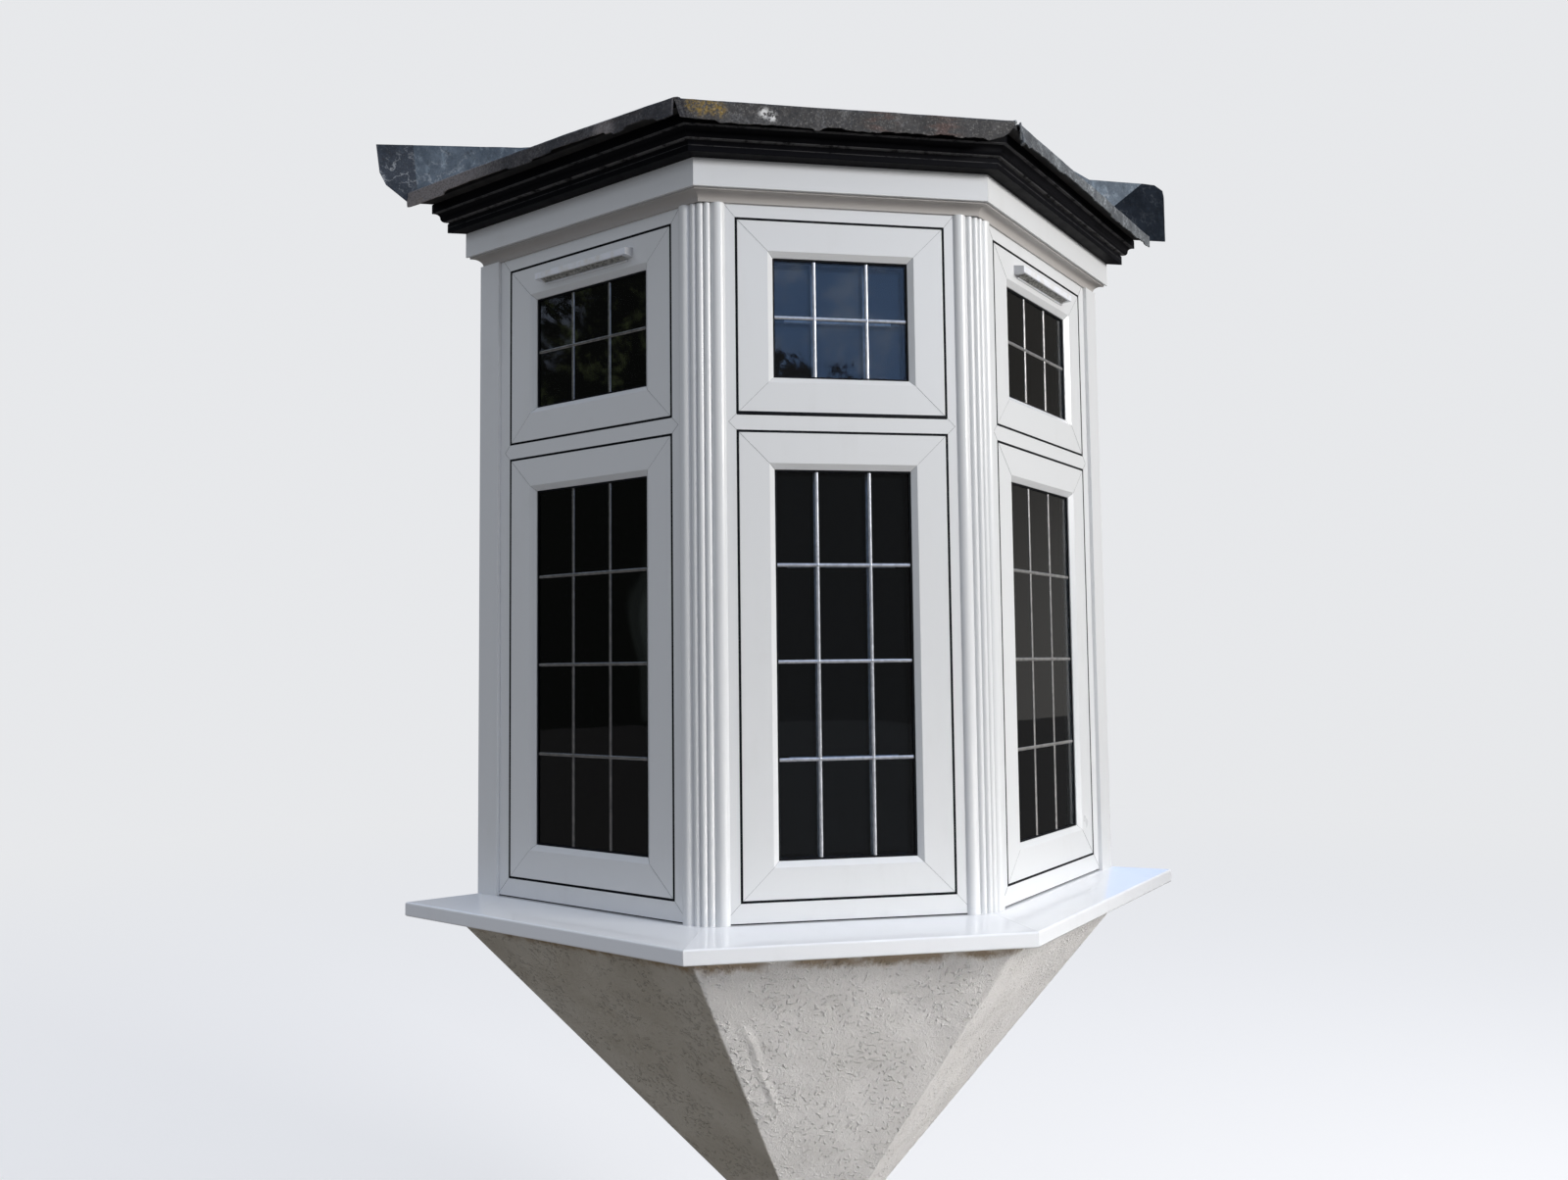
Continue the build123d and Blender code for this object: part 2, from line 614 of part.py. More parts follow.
# Roof deck: boarding that rises in three slopes from the eaves to the house wall
with BuildPart() as roof_deck:
    with BuildSketch(Plane.XY.offset(CORNICE_TOP)):
        with BuildLine():
            Polyline(plan_outline(DECK_OUT), close=True)
        make_face()
    extrude(amount=2 * (ROOF_CREST - CORNICE_TOP))
    for window in (FRONT, RIGHT, LEFT):
        split(bisect_by=roof_slope(window, DECK_OUT, EAVES), keep=Keep.BOTTOM)
    split(bisect_by=HOUSE_WALL.offset(FLASHING_THICKNESS), keep=Keep.TOP)
save(roof_deck.part, "roof_deck")

# Lead: a sheet on each slope, turned down over the cornice as a drip
lead_rise = LEAD_THICKNESS / math.cos(math.radians(ROOF_PITCH))
lead_edge = EAVES + (DECK_OUT - LEAD_OUT) * TAN_PITCH + lead_rise
lead_inner = LEAD_OUT - LEAD_THICKNESS
lead_back = 2 * BAY_DEPTH
for side, window, sash_width in WINDOWS:
    drip = LEAD_DRIP if side == "front" else LEAD_SIDE_DRIP
    with BuildPart() as lead:
        with BuildSketch(section_plane(window)):
            with BuildLine():
                Polyline(
                    (LEAD_OUT, lead_edge),
                    (LEAD_OUT, lead_edge - drip),
                    (lead_inner, lead_edge - drip),
                    (lead_inner, EAVES + (DECK_OUT - lead_inner) * TAN_PITCH),
                    (-lead_back, EAVES + (DECK_OUT + lead_back) * TAN_PITCH),
                    (-lead_back, EAVES + (DECK_OUT + lead_back) * TAN_PITCH + lead_rise),
                    close=True,
                )
            make_face()
        extrude(amount=LONG_RUN, both=True)
        trim_run(side, FLASHING_THICKNESS)
    save_window_piece(lead.part, "lead", side)

# Wall flashing: two lead sheets on the house wall, behind and above the roof
flashing_crest = ROOF_CREST + FLASHING_UPSTAND
flashing_foot = CORNICE_TOP + SEAT_GAP
roof_end = WALL_HALF + LEAD_OUT / SIN_CANT
with BuildPart() as wall_flashing:
    for side, edge in ((1, RIGHT_FLASHING), (-1, LEFT_FLASHING)):
        with BuildSketch(HOUSE_WALL):
            with BuildLine():
                Polyline(
                    (side * MITRE_GAP / 2, flashing_crest),
                    (side * MITRE_GAP / 2, flashing_foot),
                    *[(side * (roof_end + x), flashing_foot + rise) for x, rise in edge],
                    close=True,
                )
            make_face()
        extrude(amount=FLASHING_THICKNESS)
save(wall_flashing.part, "wall_flashing")

# Trickle vents: wedge hoods on the side windows' upper sashes, slotted underneath
vent_base = UPPER_SASH_TOP - VENT_BELOW_TOP
slot_plane = Plane(
    origin=RIGHT.from_local_coords((0, vent_base, VENT_OUT / 2)),
    x_dir=RIGHT.x_dir,
    z_dir=(0, 0, 1),
)
with BuildPart() as trickle_vents:
    with BuildSketch(section_plane(RIGHT)) as vent_section:
        with BuildLine():
            Polyline(
                (0, vent_base),
                (0, vent_base + VENT_BACK_HEIGHT),
                (VENT_OUT, vent_base + VENT_FRONT_HEIGHT),
                (VENT_OUT, vent_base),
                close=True,
            )
        make_face()
        fillet(vent_section.vertices().group_by(Axis.X)[-1], radius=VENT_EDGE_RADIUS)
    extrude(amount=VENT_LENGTH / 2, both=True)
    with BuildSketch(slot_plane):
        Rectangle(VENT_LENGTH - 2 * VENT_END_MARGIN, VENT_SLOT_WIDTH)
    extrude(amount=VENT_SLOT_DEPTH, mode=Mode.SUBTRACT)
    mirror(about=Plane.YZ)
save(trickle_vents.part, "trickle_vents")

# Window handles: a lever on a slotted base, on the room side of every sash
neck_top = HANDLE_BASE_DEPTH + HANDLE_NECK_LENGTH
lever_middle = (HANDLE_LEVER_LENGTH - HANDLE_LEVER_WIDTH) / 2
with BuildPart() as window_handles:
    for window, sash_width in (
        (FRONT, FRONT_SASH_WIDTH),
        (RIGHT, SIDE_SASH_WIDTH),
        (LEFT, -SIDE_SASH_WIDTH),
    ):
        stile = sash_width / 2 - math.copysign(HANDLE_INSET, sash_width)
        for along, height, base_direction in (
            (0, UPPER_SASH_BASE + HANDLE_INSET, window.x_dir),
            (stile, LOWER_SASH_MIDDLE, window.y_dir),
        ):
            base_plane = Plane(
                origin=window.from_local_coords((along, height, -SASH_DEPTH)),
                x_dir=-base_direction,
                z_dir=-window.z_dir,
            )
            with BuildSketch(base_plane):
                SlotOverall(HANDLE_BASE_LENGTH, HANDLE_BASE_WIDTH)
            extrude(amount=HANDLE_BASE_DEPTH)
            with BuildSketch(base_plane):
                Circle(HANDLE_NECK_RADIUS)
            extrude(amount=neck_top)
            with BuildSketch(base_plane.offset(neck_top)):
                with Locations((lever_middle, 0)):
                    SlotOverall(HANDLE_LEVER_LENGTH, HANDLE_LEVER_WIDTH)
            extrude(amount=HANDLE_LEVER_DEPTH)
save(window_handles.part, "window_handles")
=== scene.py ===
"""The dressed bay window: a three-sided oriel with leaded lights under a small lead roof."""

from __future__ import annotations

import logging
import math
from contextlib import contextmanager
from dataclasses import dataclass, field
from enum import Enum
from functools import reduce
from itertools import product
from typing import Callable, Iterator

import bmesh
import bpy
from mathutils import Matrix, Vector
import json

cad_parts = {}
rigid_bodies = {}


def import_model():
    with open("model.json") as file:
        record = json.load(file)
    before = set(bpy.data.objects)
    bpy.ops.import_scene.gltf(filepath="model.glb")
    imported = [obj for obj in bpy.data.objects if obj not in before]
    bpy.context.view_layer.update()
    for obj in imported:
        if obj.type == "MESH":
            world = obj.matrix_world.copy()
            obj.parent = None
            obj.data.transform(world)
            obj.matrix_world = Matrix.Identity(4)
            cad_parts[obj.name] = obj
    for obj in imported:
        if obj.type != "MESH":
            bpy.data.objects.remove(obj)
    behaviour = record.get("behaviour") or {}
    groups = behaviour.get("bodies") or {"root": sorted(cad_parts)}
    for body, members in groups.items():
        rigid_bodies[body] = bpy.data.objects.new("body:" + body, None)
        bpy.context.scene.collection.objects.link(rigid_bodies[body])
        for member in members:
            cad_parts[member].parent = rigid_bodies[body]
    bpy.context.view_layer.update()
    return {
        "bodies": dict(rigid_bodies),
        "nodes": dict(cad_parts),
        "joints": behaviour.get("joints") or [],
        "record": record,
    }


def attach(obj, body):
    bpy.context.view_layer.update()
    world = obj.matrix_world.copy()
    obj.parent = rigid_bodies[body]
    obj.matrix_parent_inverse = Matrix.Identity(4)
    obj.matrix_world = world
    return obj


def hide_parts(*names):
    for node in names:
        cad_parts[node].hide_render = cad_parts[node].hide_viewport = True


LOG = logging.getLogger("bay_window")

Colour = tuple[float, float, float]
Point = tuple[float, float, float]
Outline = tuple[tuple[float, float], ...]
Piece = bpy.types.Object
Material = bpy.types.Material
Socket = bpy.types.NodeSocket
Inputs = dict[str | int, object]

MM = 0.001
HALF_CANT = math.radians(22.5)
SIDES = (-1, 1)
BODY = "root"
INWARD = Vector((0, 1, 0))


@dataclass(frozen=True)
class Layout:
    """The sizes of the solids that the new pieces sit on, in metres."""

    bay_depth: float = 417 * MM
    face_half: float = 268.5 * MM
    corner_to_sash: float = 71 * MM
    side_sash: float = 437.7 * MM
    frame_base: float = 40 * MM
    frame_top: float = 1376 * MM
    frame_rail: float = 33.505 * MM
    sash_gap: float = 3.5 * MM
    sash_face: float = 57 * MM
    sash_sight: float = 67.5 * MM
    bevel_depth: float = 8.5 * MM
    glass_setback: float = 13.3 * MM
    glass_back: float = 41.3 * MM
    pane: float = 4 * MM

    @property
    def front_sash(self) -> float:
        """Width of the front sashes."""
        return 2 * (self.face_half - self.corner_to_sash)

    @property
    def side_centre(self) -> float:
        """Distance from a corner to the middle of a side window, along its face."""
        return self.corner_to_sash + self.side_sash / 2


LAYOUT = Layout()


class Face(Enum):
    """The three windows of the bay, each with the side that it stands on."""

    LEFT = -1
    FRONT = 0
    RIGHT = 1

    @property
    def label(self) -> str:
        """The window's part of a piece's name."""
        return self.name.lower()

    @property
    def turn(self) -> float:
        """Angle that turns the front window's directions into this window's."""
        return self.value * 2 * HALF_CANT

    @property
    def sash_width(self) -> float:
        """Width of this window's sashes."""
        return LAYOUT.front_sash if self is Face.FRONT else LAYOUT.side_sash

    @property
    def place(self) -> Matrix:
        """Matrix from the window's own frame, -Y outward and Z up, to the bay's.

        Returns:
            The matrix.
        """
        if self is Face.FRONT:
            return Matrix.Translation((0, -LAYOUT.bay_depth, 0))
        x = self.value * (LAYOUT.face_half + LAYOUT.side_centre * math.cos(2 * HALF_CANT))
        y = LAYOUT.side_centre * math.sin(2 * HALF_CANT) - LAYOUT.bay_depth
        return Matrix.Translation((x, y, 0)) @ Matrix.Rotation(self.turn, 4, "Z")

    @property
    def outward(self) -> Vector:
        """Unit vector that points out of this window."""
        return Vector((math.sin(self.turn), -math.cos(self.turn), 0))

    @property
    def reach(self) -> float:
        """Distance of this window's face from the origin, along its outward vector."""
        return self.place.translation.dot(self.outward)


@dataclass(frozen=True)
class Light:
    """One sash opening: its base, its height, and the rows of its bars."""

    base: float
    height: float
    rows: tuple[float, ...]

    @property
    def middle(self) -> float:
        """Height of the sash's middle."""
        return self.base + self.height / 2

    @property
    def top(self) -> float:
        """Height of the sash's top."""
        return self.base + self.height


LIGHTS = (Light(82 * MM, 851 * MM, (0.331, 0.510, 0.6885)), Light(970 * MM, 362 * MM, (1.153,)))


def deselect_all() -> None:
    """Leave edit mode if need be, and deselect every object."""
    if bpy.context.object and bpy.context.object.mode != "OBJECT":
        bpy.ops.object.mode_set(mode="OBJECT")
    bpy.ops.object.select_all(action="DESELECT")


def select(*pieces: Piece) -> None:
    """Select pieces alone, and make the first the active one.

    Args:
        pieces: the objects to select.
    """
    deselect_all()
    for piece in pieces:
        piece.select_set(True)
    bpy.context.view_layer.objects.active = pieces[0]


@contextmanager
def editing(piece: Piece, everything: bool = False) -> Iterator[None]:
    """Hold a piece in edit mode.

    Args:
        piece: the object to edit.
        everything: whether all of it is selected at first, or nothing.

    Yields:
        Nothing.
    """
    select(piece)
    bpy.context.tool_settings.mesh_select_mode = (True, True, True)
    bpy.ops.object.mode_set(mode="EDIT")
    bpy.ops.mesh.select_all(action="SELECT" if everything else "DESELECT")
    yield
    bpy.ops.object.mode_set(mode="OBJECT")


def pick_faces(piece: Piece, test: Callable[[Vector, Vector], bool]) -> None:
    """Select the faces whose centre and normal pass a test, in edit mode.

    Args:
        piece: the object in edit mode.
        test: called with a face's centre and its normal.
    """
    mesh = bmesh.from_edit_mesh(piece.data)
    for face in mesh.faces:
        if test(face.calc_center_median(), face.normal):
            face.select_set(True)
    bmesh.update_edit_mesh(piece.data)


def pick_edges(piece: Piece, test: Callable[[Vector], bool]) -> None:
    """Select the edges whose two ends pass a test, in edit mode.

    Args:
        piece: the object in edit mode.
        test: called with each end of an edge.
    """
    mesh = bmesh.from_edit_mesh(piece.data)
    for edge in mesh.edges:
        if all(test(end.co) for end in edge.verts):
            edge.select_set(True)
    bmesh.update_edit_mesh(piece.data)


def settle(piece: Piece) -> None:
    """Apply a piece's place, turn and size to its mesh."""
    select(piece)
    bpy.ops.object.transform_apply(location=True, rotation=True, scale=True)


def move(piece: Piece, place: Matrix) -> None:
    """Put a piece at a place and apply that to its mesh."""
    piece.matrix_world = place
    settle(piece)


def sized(size: Point) -> Piece:
    """Give the primitive that was just added its size, and apply it.

    Args:
        size: its size along each axis, before it is turned.

    Returns:
        The primitive.
    """
    piece = bpy.context.object
    piece.scale = size
    settle(piece)
    return piece


def modify(piece: Piece, kind: str, **values: object) -> None:
    """Add a modifier, set its values and apply it.

    Args:
        piece: the object to modify.
        kind: Blender's name for the modifier's type.
        values: the modifier's settings.
    """
    select(piece)
    modifier = piece.modifiers.new(kind.title(), kind)
    for name, value in values.items():
        setattr(modifier, name, value)
    bpy.ops.object.modifier_apply(modifier=modifier.name)


def join(pieces: list[Piece]) -> Piece:
    """Join pieces, all of them at the origin, into one object.

    Args:
        pieces: the objects to join.

    Returns:
        The joined object.
    """
    select(*pieces)
    bpy.ops.object.join()
    return bpy.context.object


def smooth(piece: Piece, angle: float) -> None:
    """Shade a piece smooth across edges flatter than an angle in degrees."""
    select(piece)
    bpy.ops.object.shade_smooth_by_angle(angle=math.radians(angle))


def close_outward(piece: Piece) -> None:
    """Merge a piece's doubles and turn all its faces outward.

    Args:
        piece: the object to clean.
    """
    with editing(piece, everything=True):
        bpy.ops.mesh.remove_doubles(threshold=0.01 * MM)
        bpy.ops.mesh.normals_make_consistent(inside=False)


def keep_side(piece: Piece, point: Vector, normal: Vector, fill: bool = True) -> None:
    """Cut a piece at a plane, keep the side that the normal points away from, and fill the cut."""
    with editing(piece, everything=True):
        bpy.ops.mesh.bisect(plane_co=point, plane_no=normal, clear_outer=True, use_fill=fill)


def ring(size: tuple[float, float], middle: float, rail: float, out: float, depth: float) -> Piece:
    """Model a rectangular ring in the window's own frame.

    Args:
        size: outer width and height.
        middle: height of the ring's middle.
        rail: width of the ring's rails.
        out: distance of its front in front of the window's face.
        depth: its depth behind that.

    Returns:
        The ring.
    """
    bpy.ops.mesh.primitive_plane_add(size=1, location=(0, -out, middle), rotation=(math.pi / 2, 0, 0))
    piece = sized((*size, 1))
    with editing(piece, everything=True):
        bpy.ops.mesh.inset(thickness=rail)
        bpy.ops.mesh.delete(type="FACE")
        bpy.ops.mesh.select_all(action="SELECT")
        bpy.ops.mesh.extrude_region_move(TRANSFORM_OT_translate={"value": (0, depth, 0)})
    close_outward(piece)
    return piece


def bar(start: Point | Vector, end: Point | Vector, width: float, depth: float, sides: int = 12) -> Piece:
    """Model a round or flattened bar between two points.

    Args:
        start: the middle of one end.
        end: the middle of the other.
        width: its size across, in the face's plane.
        depth: its size along Y before it is turned.
        sides: number of its sides.

    Returns:
        The bar.
    """
    middle, run = (Vector(start) + Vector(end)) / 2, Vector(end) - Vector(start)
    bpy.ops.mesh.primitive_cylinder_add(vertices=sides, radius=0.5, depth=1, location=middle)
    bpy.context.object.rotation_mode = "QUATERNION"
    bpy.context.object.rotation_quaternion = run.to_track_quat("Z", "Y")
    return sized((width, depth, run.length))


def group_points(piece: Piece, name: str, weight: Callable[[Vector], float]) -> None:
    """Give a piece a vertex group by place.

    Args:
        piece: the object to weigh.
        name: the group's name.
        weight: called with each vertex's place, and gives its weight.
    """
    group = piece.vertex_groups.new(name=name)
    for vertex in piece.data.vertices:
        value = weight(vertex.co)
        if value > 0:
            group.add([vertex.index], min(value, 1.0), "REPLACE")


def shift(piece: Piece, distance: float, group: str, direction: str = "Z") -> None:
    """Move a vertex group's points, each by its share of a distance."""
    modify(piece, "DISPLACE", strength=distance, mid_level=0, direction=direction, vertex_group=group)


def displace(
    piece: Piece, name: str, scale: float, strength: float,
    group: str = "", direction: str = "NORMAL", depth: int = 2,
) -> None:
    """Move a piece's surface by a cloud pattern.

    Args:
        piece: the object to move.
        name: the pattern's name.
        scale: size of the pattern's lumps, in metres.
        strength: the distance between the surface's lowest and highest places.
        group: the vertex group that is moved, or nothing for all.
        direction: the direction of the movement.
        depth: how many finer layers the pattern has.
    """
    pattern = bpy.data.textures.new(name, "CLOUDS")
    pattern.noise_scale = scale
    pattern.noise_depth = depth
    modify(
        piece, "DISPLACE", texture=pattern, strength=strength, mid_level=0.5, texture_coords="LOCAL",
        direction=direction, vertex_group=group,
    )


def add_piece(piece: Piece, name: str, material: Material) -> None:
    """Name a finished piece, give it its finish and let it ride on the bay.

    Args:
        piece: the finished object.
        name: its name.
        material: its material.
    """
    piece.name = name
    piece.data.name = name
    piece.data.materials.clear()
    piece.data.materials.append(material)
    piece.vertex_groups.clear()
    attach(piece, BODY)
    LOG.info("%s: %d faces", name, len(piece.data.polygons))


class Nodes:
    """A node tree, with short calls for the nodes that the finishes and the sky use."""

    def __init__(self, tree: bpy.types.NodeTree, place: str) -> None:
        """Take a tree, and the Texture Coordinate output that its patterns lie on."""
        self.tree = tree
        self.place = self.node("TexCoord").outputs[place]

    def feed(self, socket: Socket, value: object) -> None:
        """Link a socket to an input, or set the input to a plain value.

        Args:
            socket: the input.
            value: an output socket, a number, a vector or a colour.
        """
        if isinstance(value, Socket):
            self.tree.links.new(value, socket)
        elif isinstance(value, tuple) and socket.type == "RGBA":
            socket.default_value = (*value, 1)
        else:
            socket.default_value = value

    def node(self, kind: str, inputs: Inputs | None = None, **settings: object) -> bpy.types.Node:
        """Add a node.

        Args:
            kind: its type, which is Blender's name without ShaderNode.
            inputs: what goes into its inputs.
            settings: its own settings.

        Returns:
            The node.
        """
        node = self.tree.nodes.new(f"ShaderNode{kind}")
        for name, value in settings.items():
            setattr(node, name, value)
        for name, value in (inputs or {}).items():
            self.feed(node.inputs[name], value)
        return node

    def calc(self, operation: str, *values: object) -> Socket:
        """Do one of the Math node's operations."""
        return self.node("Math", dict(enumerate(values)), operation=operation).outputs[0]

    def times(self, *values: object) -> Socket:
        """Multiply all the values."""
        return reduce(lambda a, b: self.calc("MULTIPLY", a, b), values)

    def plus(self, value: object, more: object, share: float = 1.0) -> Socket:
        """Add a share of one value to another."""
        return self.calc("MULTIPLY_ADD", more, share, value)

    def away(self, value: object, mark: float) -> Socket:
        """Give how far a value is from a mark."""
        return self.calc("ABSOLUTE", self.calc("SUBTRACT", value, mark))

    def axis(self, name: str, vector: Socket | None = None) -> Socket:
        """Give X, Y or Z of a vector, or of the place in metres."""
        return self.node("SeparateXYZ", {0: self.place if vector is None else vector}).outputs[name]

    def noise(
        self, scale: float, detail: int = 3, rough: float = 0.55, stretch: Point | None = None
    ) -> Socket:
        """Add a Noise texture.

        Args:
            scale: lumps a metre.
            detail: number of finer layers.
            rough: strength of the finer layers.
            stretch: the factor on each of its coordinates.

        Returns:
            The pattern.
        """
        place = self.place
        if stretch:
            place = self.node("Mapping", {"Vector": place, "Scale": stretch}).outputs[0]
        inputs = {"Vector": place, "Scale": scale, "Detail": detail, "Roughness": rough}
        return self.node("TexNoise", inputs).outputs["Fac"]

    def step(self, value: object, low: float, high: float) -> Socket:
        """Raise a value smoothly from 0 at one limit to 1 at the other.

        Args:
            value: the value.
            low: where the result is 0.
            high: where the result is 1.

        Returns:
            The result.
        """
        limits = {"From Min": min(low, high), "From Max": max(low, high)}
        results = {"To Min": float(low > high), "To Max": float(low < high)}
        inputs = {"Value": value, **limits, **results}
        return self.node("MapRange", inputs, interpolation_type="SMOOTHSTEP", clamp=True).outputs[0]

    def patches(self, low: float, high: float, *pattern: object) -> Socket:
        """Mark patches where a noise rises from one limit to another."""
        return self.step(self.noise(*pattern), low, high)

    def over(self, base: object, colour: object, *shares: object) -> Socket:
        """Lay a colour over a base colour, as far as the product of the shares."""
        return self.node("Mix", {0: self.times(*shares), 6: base, 7: colour}, data_type="RGBA").outputs[2]

    def around(self, centre: Point, radius: float, soft: float) -> Socket:
        """Mark a ball about a point, from 0 at its radius to 1 a soft width further in."""
        distance = self.node("VectorMath", {0: self.place, 1: centre}, operation="DISTANCE")
        return self.step(distance.outputs["Value"], radius, radius - soft)

    def bump(self, height: object, distance: float, strength: float = 1.0) -> Socket:
        """Turn a pattern into a bump of a height in metres."""
        return self.node("Bump", {"Height": height, "Distance": distance, "Strength": strength}).outputs[0]


class Sheet(Nodes):
    """A material's node tree around one Principled shader."""

    def __init__(self, name: str) -> None:
        """Start a material.

        Args:
            name: its name.
        """
        self.material = bpy.data.materials.new(name)
        self.material.use_nodes = True
        super().__init__(self.material.node_tree, "Object")

    def facing(self, name: str) -> Socket:
        """Give X, Y or Z of the surface's normal."""
        return self.axis(name, self.node("NewGeometry").outputs["Normal"])

    def shade(self, **values: object) -> Material:
        """Set or link sockets of the Principled shader, with _ for each space.

        Args:
            values: the sockets and what goes into them.

        Returns:
            The material.
        """
        for name, value in values.items():
            self.feed(self.tree.nodes["Principled BSDF"].inputs[name.replace("_", " ")], value)
        return self.material


@dataclass(frozen=True)
class WhiteProfile:
    """Satin white plastic, with a faint film of dust and a fine drawn surface."""

    name: str = "white_profile"
    colour: Colour = (0.80, 0.81, 0.82)
    dust: Colour = (0.60, 0.59, 0.56)
    dust_share: float = 0.22
    roughness: float = 0.30
    coat: float = 0.15

    def make(self) -> Material:
        """Build the material.

        Returns:
            The material.
        """
        sheet = Sheet(self.name)
        film = sheet.noise(9, 5, 0.6)
        streaks = sheet.patches(0.4, 0.75, 26, 4, 0.6, (1, 1, 0.12))
        settled = sheet.step(film, 0.45, 0.8)
        return sheet.shade(
            Base_Color=sheet.over(self.colour, self.dust, settled, streaks, self.dust_share),
            Roughness=sheet.plus(self.roughness - 0.06, film, 0.12),
            Coat_Weight=self.coat,
            Coat_Roughness=0.12,
            Normal=sheet.bump(sheet.noise(160), 0.08 * MM, 0.35),
        )


@dataclass(frozen=True)
class VentPlastic:
    """Satin plastic of the trickle vents, greyed on the ends that face the corner posts as painted shade."""

    colour: Colour = (0.90, 0.92, 0.97)
    film: Colour = (0.80, 0.79, 0.76)
    cap: Colour = (0.62, 0.63, 0.66)

    def make(self) -> Material:
        """Build the material.

        Returns:
            The material.
        """
        sheet = Sheet("vent_plastic")
        pattern = sheet.noise(40, 4, 0.6)
        # Painted shade: ends whose normal points towards the bay's middle are greyed.
        painted_end_shade_mask = sheet.times(sheet.facing("X"), sheet.axis("X"))
        base = sheet.over(self.colour, self.film, sheet.step(pattern, 0.4, 0.75))
        return sheet.shade(
            Base_Color=sheet.over(base, self.cap, sheet.step(painted_end_shade_mask, -0.12, -0.2)),
            Roughness=sheet.plus(0.34, pattern, 0.12),
            Normal=sheet.bump(sheet.noise(200), 0.06 * MM, 0.4),
        )


@dataclass(frozen=True)
class Stain:
    """Broken patches of one colour, each about a point."""

    colour: Colour
    radius: float
    grain: float
    places: tuple[Point, ...]
    share: float = 1.0
    stretch: Point | None = None

    def lay(self, sheet: Sheet, base: Socket) -> Socket:
        """Lay the patches over a colour.

        Args:
            sheet: the node tree.
            base: the colour under them.

        Returns:
            The stained colour.
        """
        for place in self.places:
            ball = sheet.around(place, self.radius, self.radius * 0.9)
            pattern = sheet.patches(0.44, 0.56, self.grain, 5, 0.7, self.stretch)
            base = sheet.over(base, self.colour, ball, pattern, self.share)
        return base


@dataclass(frozen=True)
class LeadSheet:
    """Old lead: mottled oxide, pale veins, dark pits, and stains under and over its specks."""

    name: str
    colour: Colour
    patch: Colour
    bloom: Colour
    bloom_share: float
    veins: float
    speckle: float
    metallic: float = 0.12
    shine: float = 0.5
    washed: tuple[tuple[Point, float], ...] = ()
    under: tuple[Stain, ...] = ()
    upper: tuple[Stain, ...] = ()
    vein: Colour = (0.52, 0.55, 0.58)
    pit: Colour = (0.022, 0.022, 0.025)
    wash: Colour = (0.32, 0.285, 0.275)
    dark_speck: Colour = (0.018, 0.017, 0.017)
    pale_speck: Colour = (0.42, 0.41, 0.39)

    def make(self) -> Material:
        """Build the material.

        Returns:
            The material.
        """
        sheet = Sheet(self.name)
        broad = sheet.noise(12, 6, 0.7)
        fine = sheet.noise(85, 6, 0.72)
        base = sheet.over(self.colour, self.patch, sheet.step(broad, 0.36, 0.62))
        runs = sheet.patches(0.5, 0.68, 42, 6, 0.72, (1, 1, 0.45))
        base = sheet.over(base, self.bloom, runs, self.bloom_share)
        ridge = sheet.step(sheet.away(sheet.noise(19, 5, 0.6), 0.5), 0.022, 0.004)
        base = sheet.over(base, self.vein, ridge, sheet.step(broad, 0.42, 0.58), self.veins)
        base = sheet.over(base, self.pit, sheet.step(fine, 0.56, 0.7), 0.6)
        for centre, radius in self.washed:
            base = sheet.over(base, self.wash, sheet.around(centre, radius, radius * 0.6), 0.85)
        for stain in self.under:
            base = stain.lay(sheet, base)
        specks = sheet.noise(270, 3, 0.75)
        base = sheet.over(base, self.dark_speck, sheet.step(specks, 0.50, 0.60), self.speckle)
        base = sheet.over(base, self.pale_speck, sheet.step(specks, 0.44, 0.34), self.speckle * 0.55)
        for stain in self.upper:
            base = stain.lay(sheet, base)
        relief = sheet.plus(sheet.plus(broad, fine, 0.6), sheet.noise(420, 3, 0.7), 0.12)
        return sheet.shade(
            Base_Color=base,
            Metallic=self.metallic,
            Specular_IOR_Level=self.shine,
            Roughness=sheet.plus(0.48, fine, 0.35),
            Normal=sheet.bump(relief, 2.0 * MM, 0.7),
        )


@dataclass(frozen=True)
class BlackPaint:
    """Black gloss on timber, dusty on top, with painted highlights as grey lines along the arrises."""

    colour: Colour = (0.0045, 0.0045, 0.006)
    dust: Colour = (0.030, 0.029, 0.029)
    # The painted highlights' colour, then each arris's height and share.
    arris: Colour = (0.16, 0.16, 0.165)
    arrises: Outline = ((1.4430, 0.35), (1.4543, 1.0), (1.4722, 0.55))

    def make(self) -> Material:
        """Build the material, with a painted highlight by a share at the height of each arris.

        Returns:
            The material.
        """
        sheet = Sheet("black_paint")
        patches = sheet.noise(30, 5, 0.7)
        settled = sheet.times(sheet.step(sheet.facing("Z"), 0.05, 0.9), sheet.step(patches, 0.35, 0.7))
        # Painted highlights: thin grey lines at the arrises' heights, broken into patches, stand for light
        # caught on the edges.
        lines = 0.0
        for height, share in self.arrises:
            near = sheet.step(sheet.away(sheet.axis("Z"), height), 1.1 * MM, 0.45 * MM)
            lines = sheet.plus(lines, near, share)
        base = sheet.over(self.colour, self.dust, settled, 0.75)
        base = sheet.over(base, self.arris, lines, sheet.patches(0.30, 0.54, 45, 5, 0.7), 0.9)
        brush = sheet.plus(patches, sheet.noise(300, 3, 0.6, (0.15, 0.15, 1)))
        return sheet.shade(
            Base_Color=base,
            Roughness=sheet.plus(0.32, patches, 0.35),
            Specular_IOR_Level=0.06,
            Normal=sheet.bump(brush, 0.5 * MM, 0.45),
        )


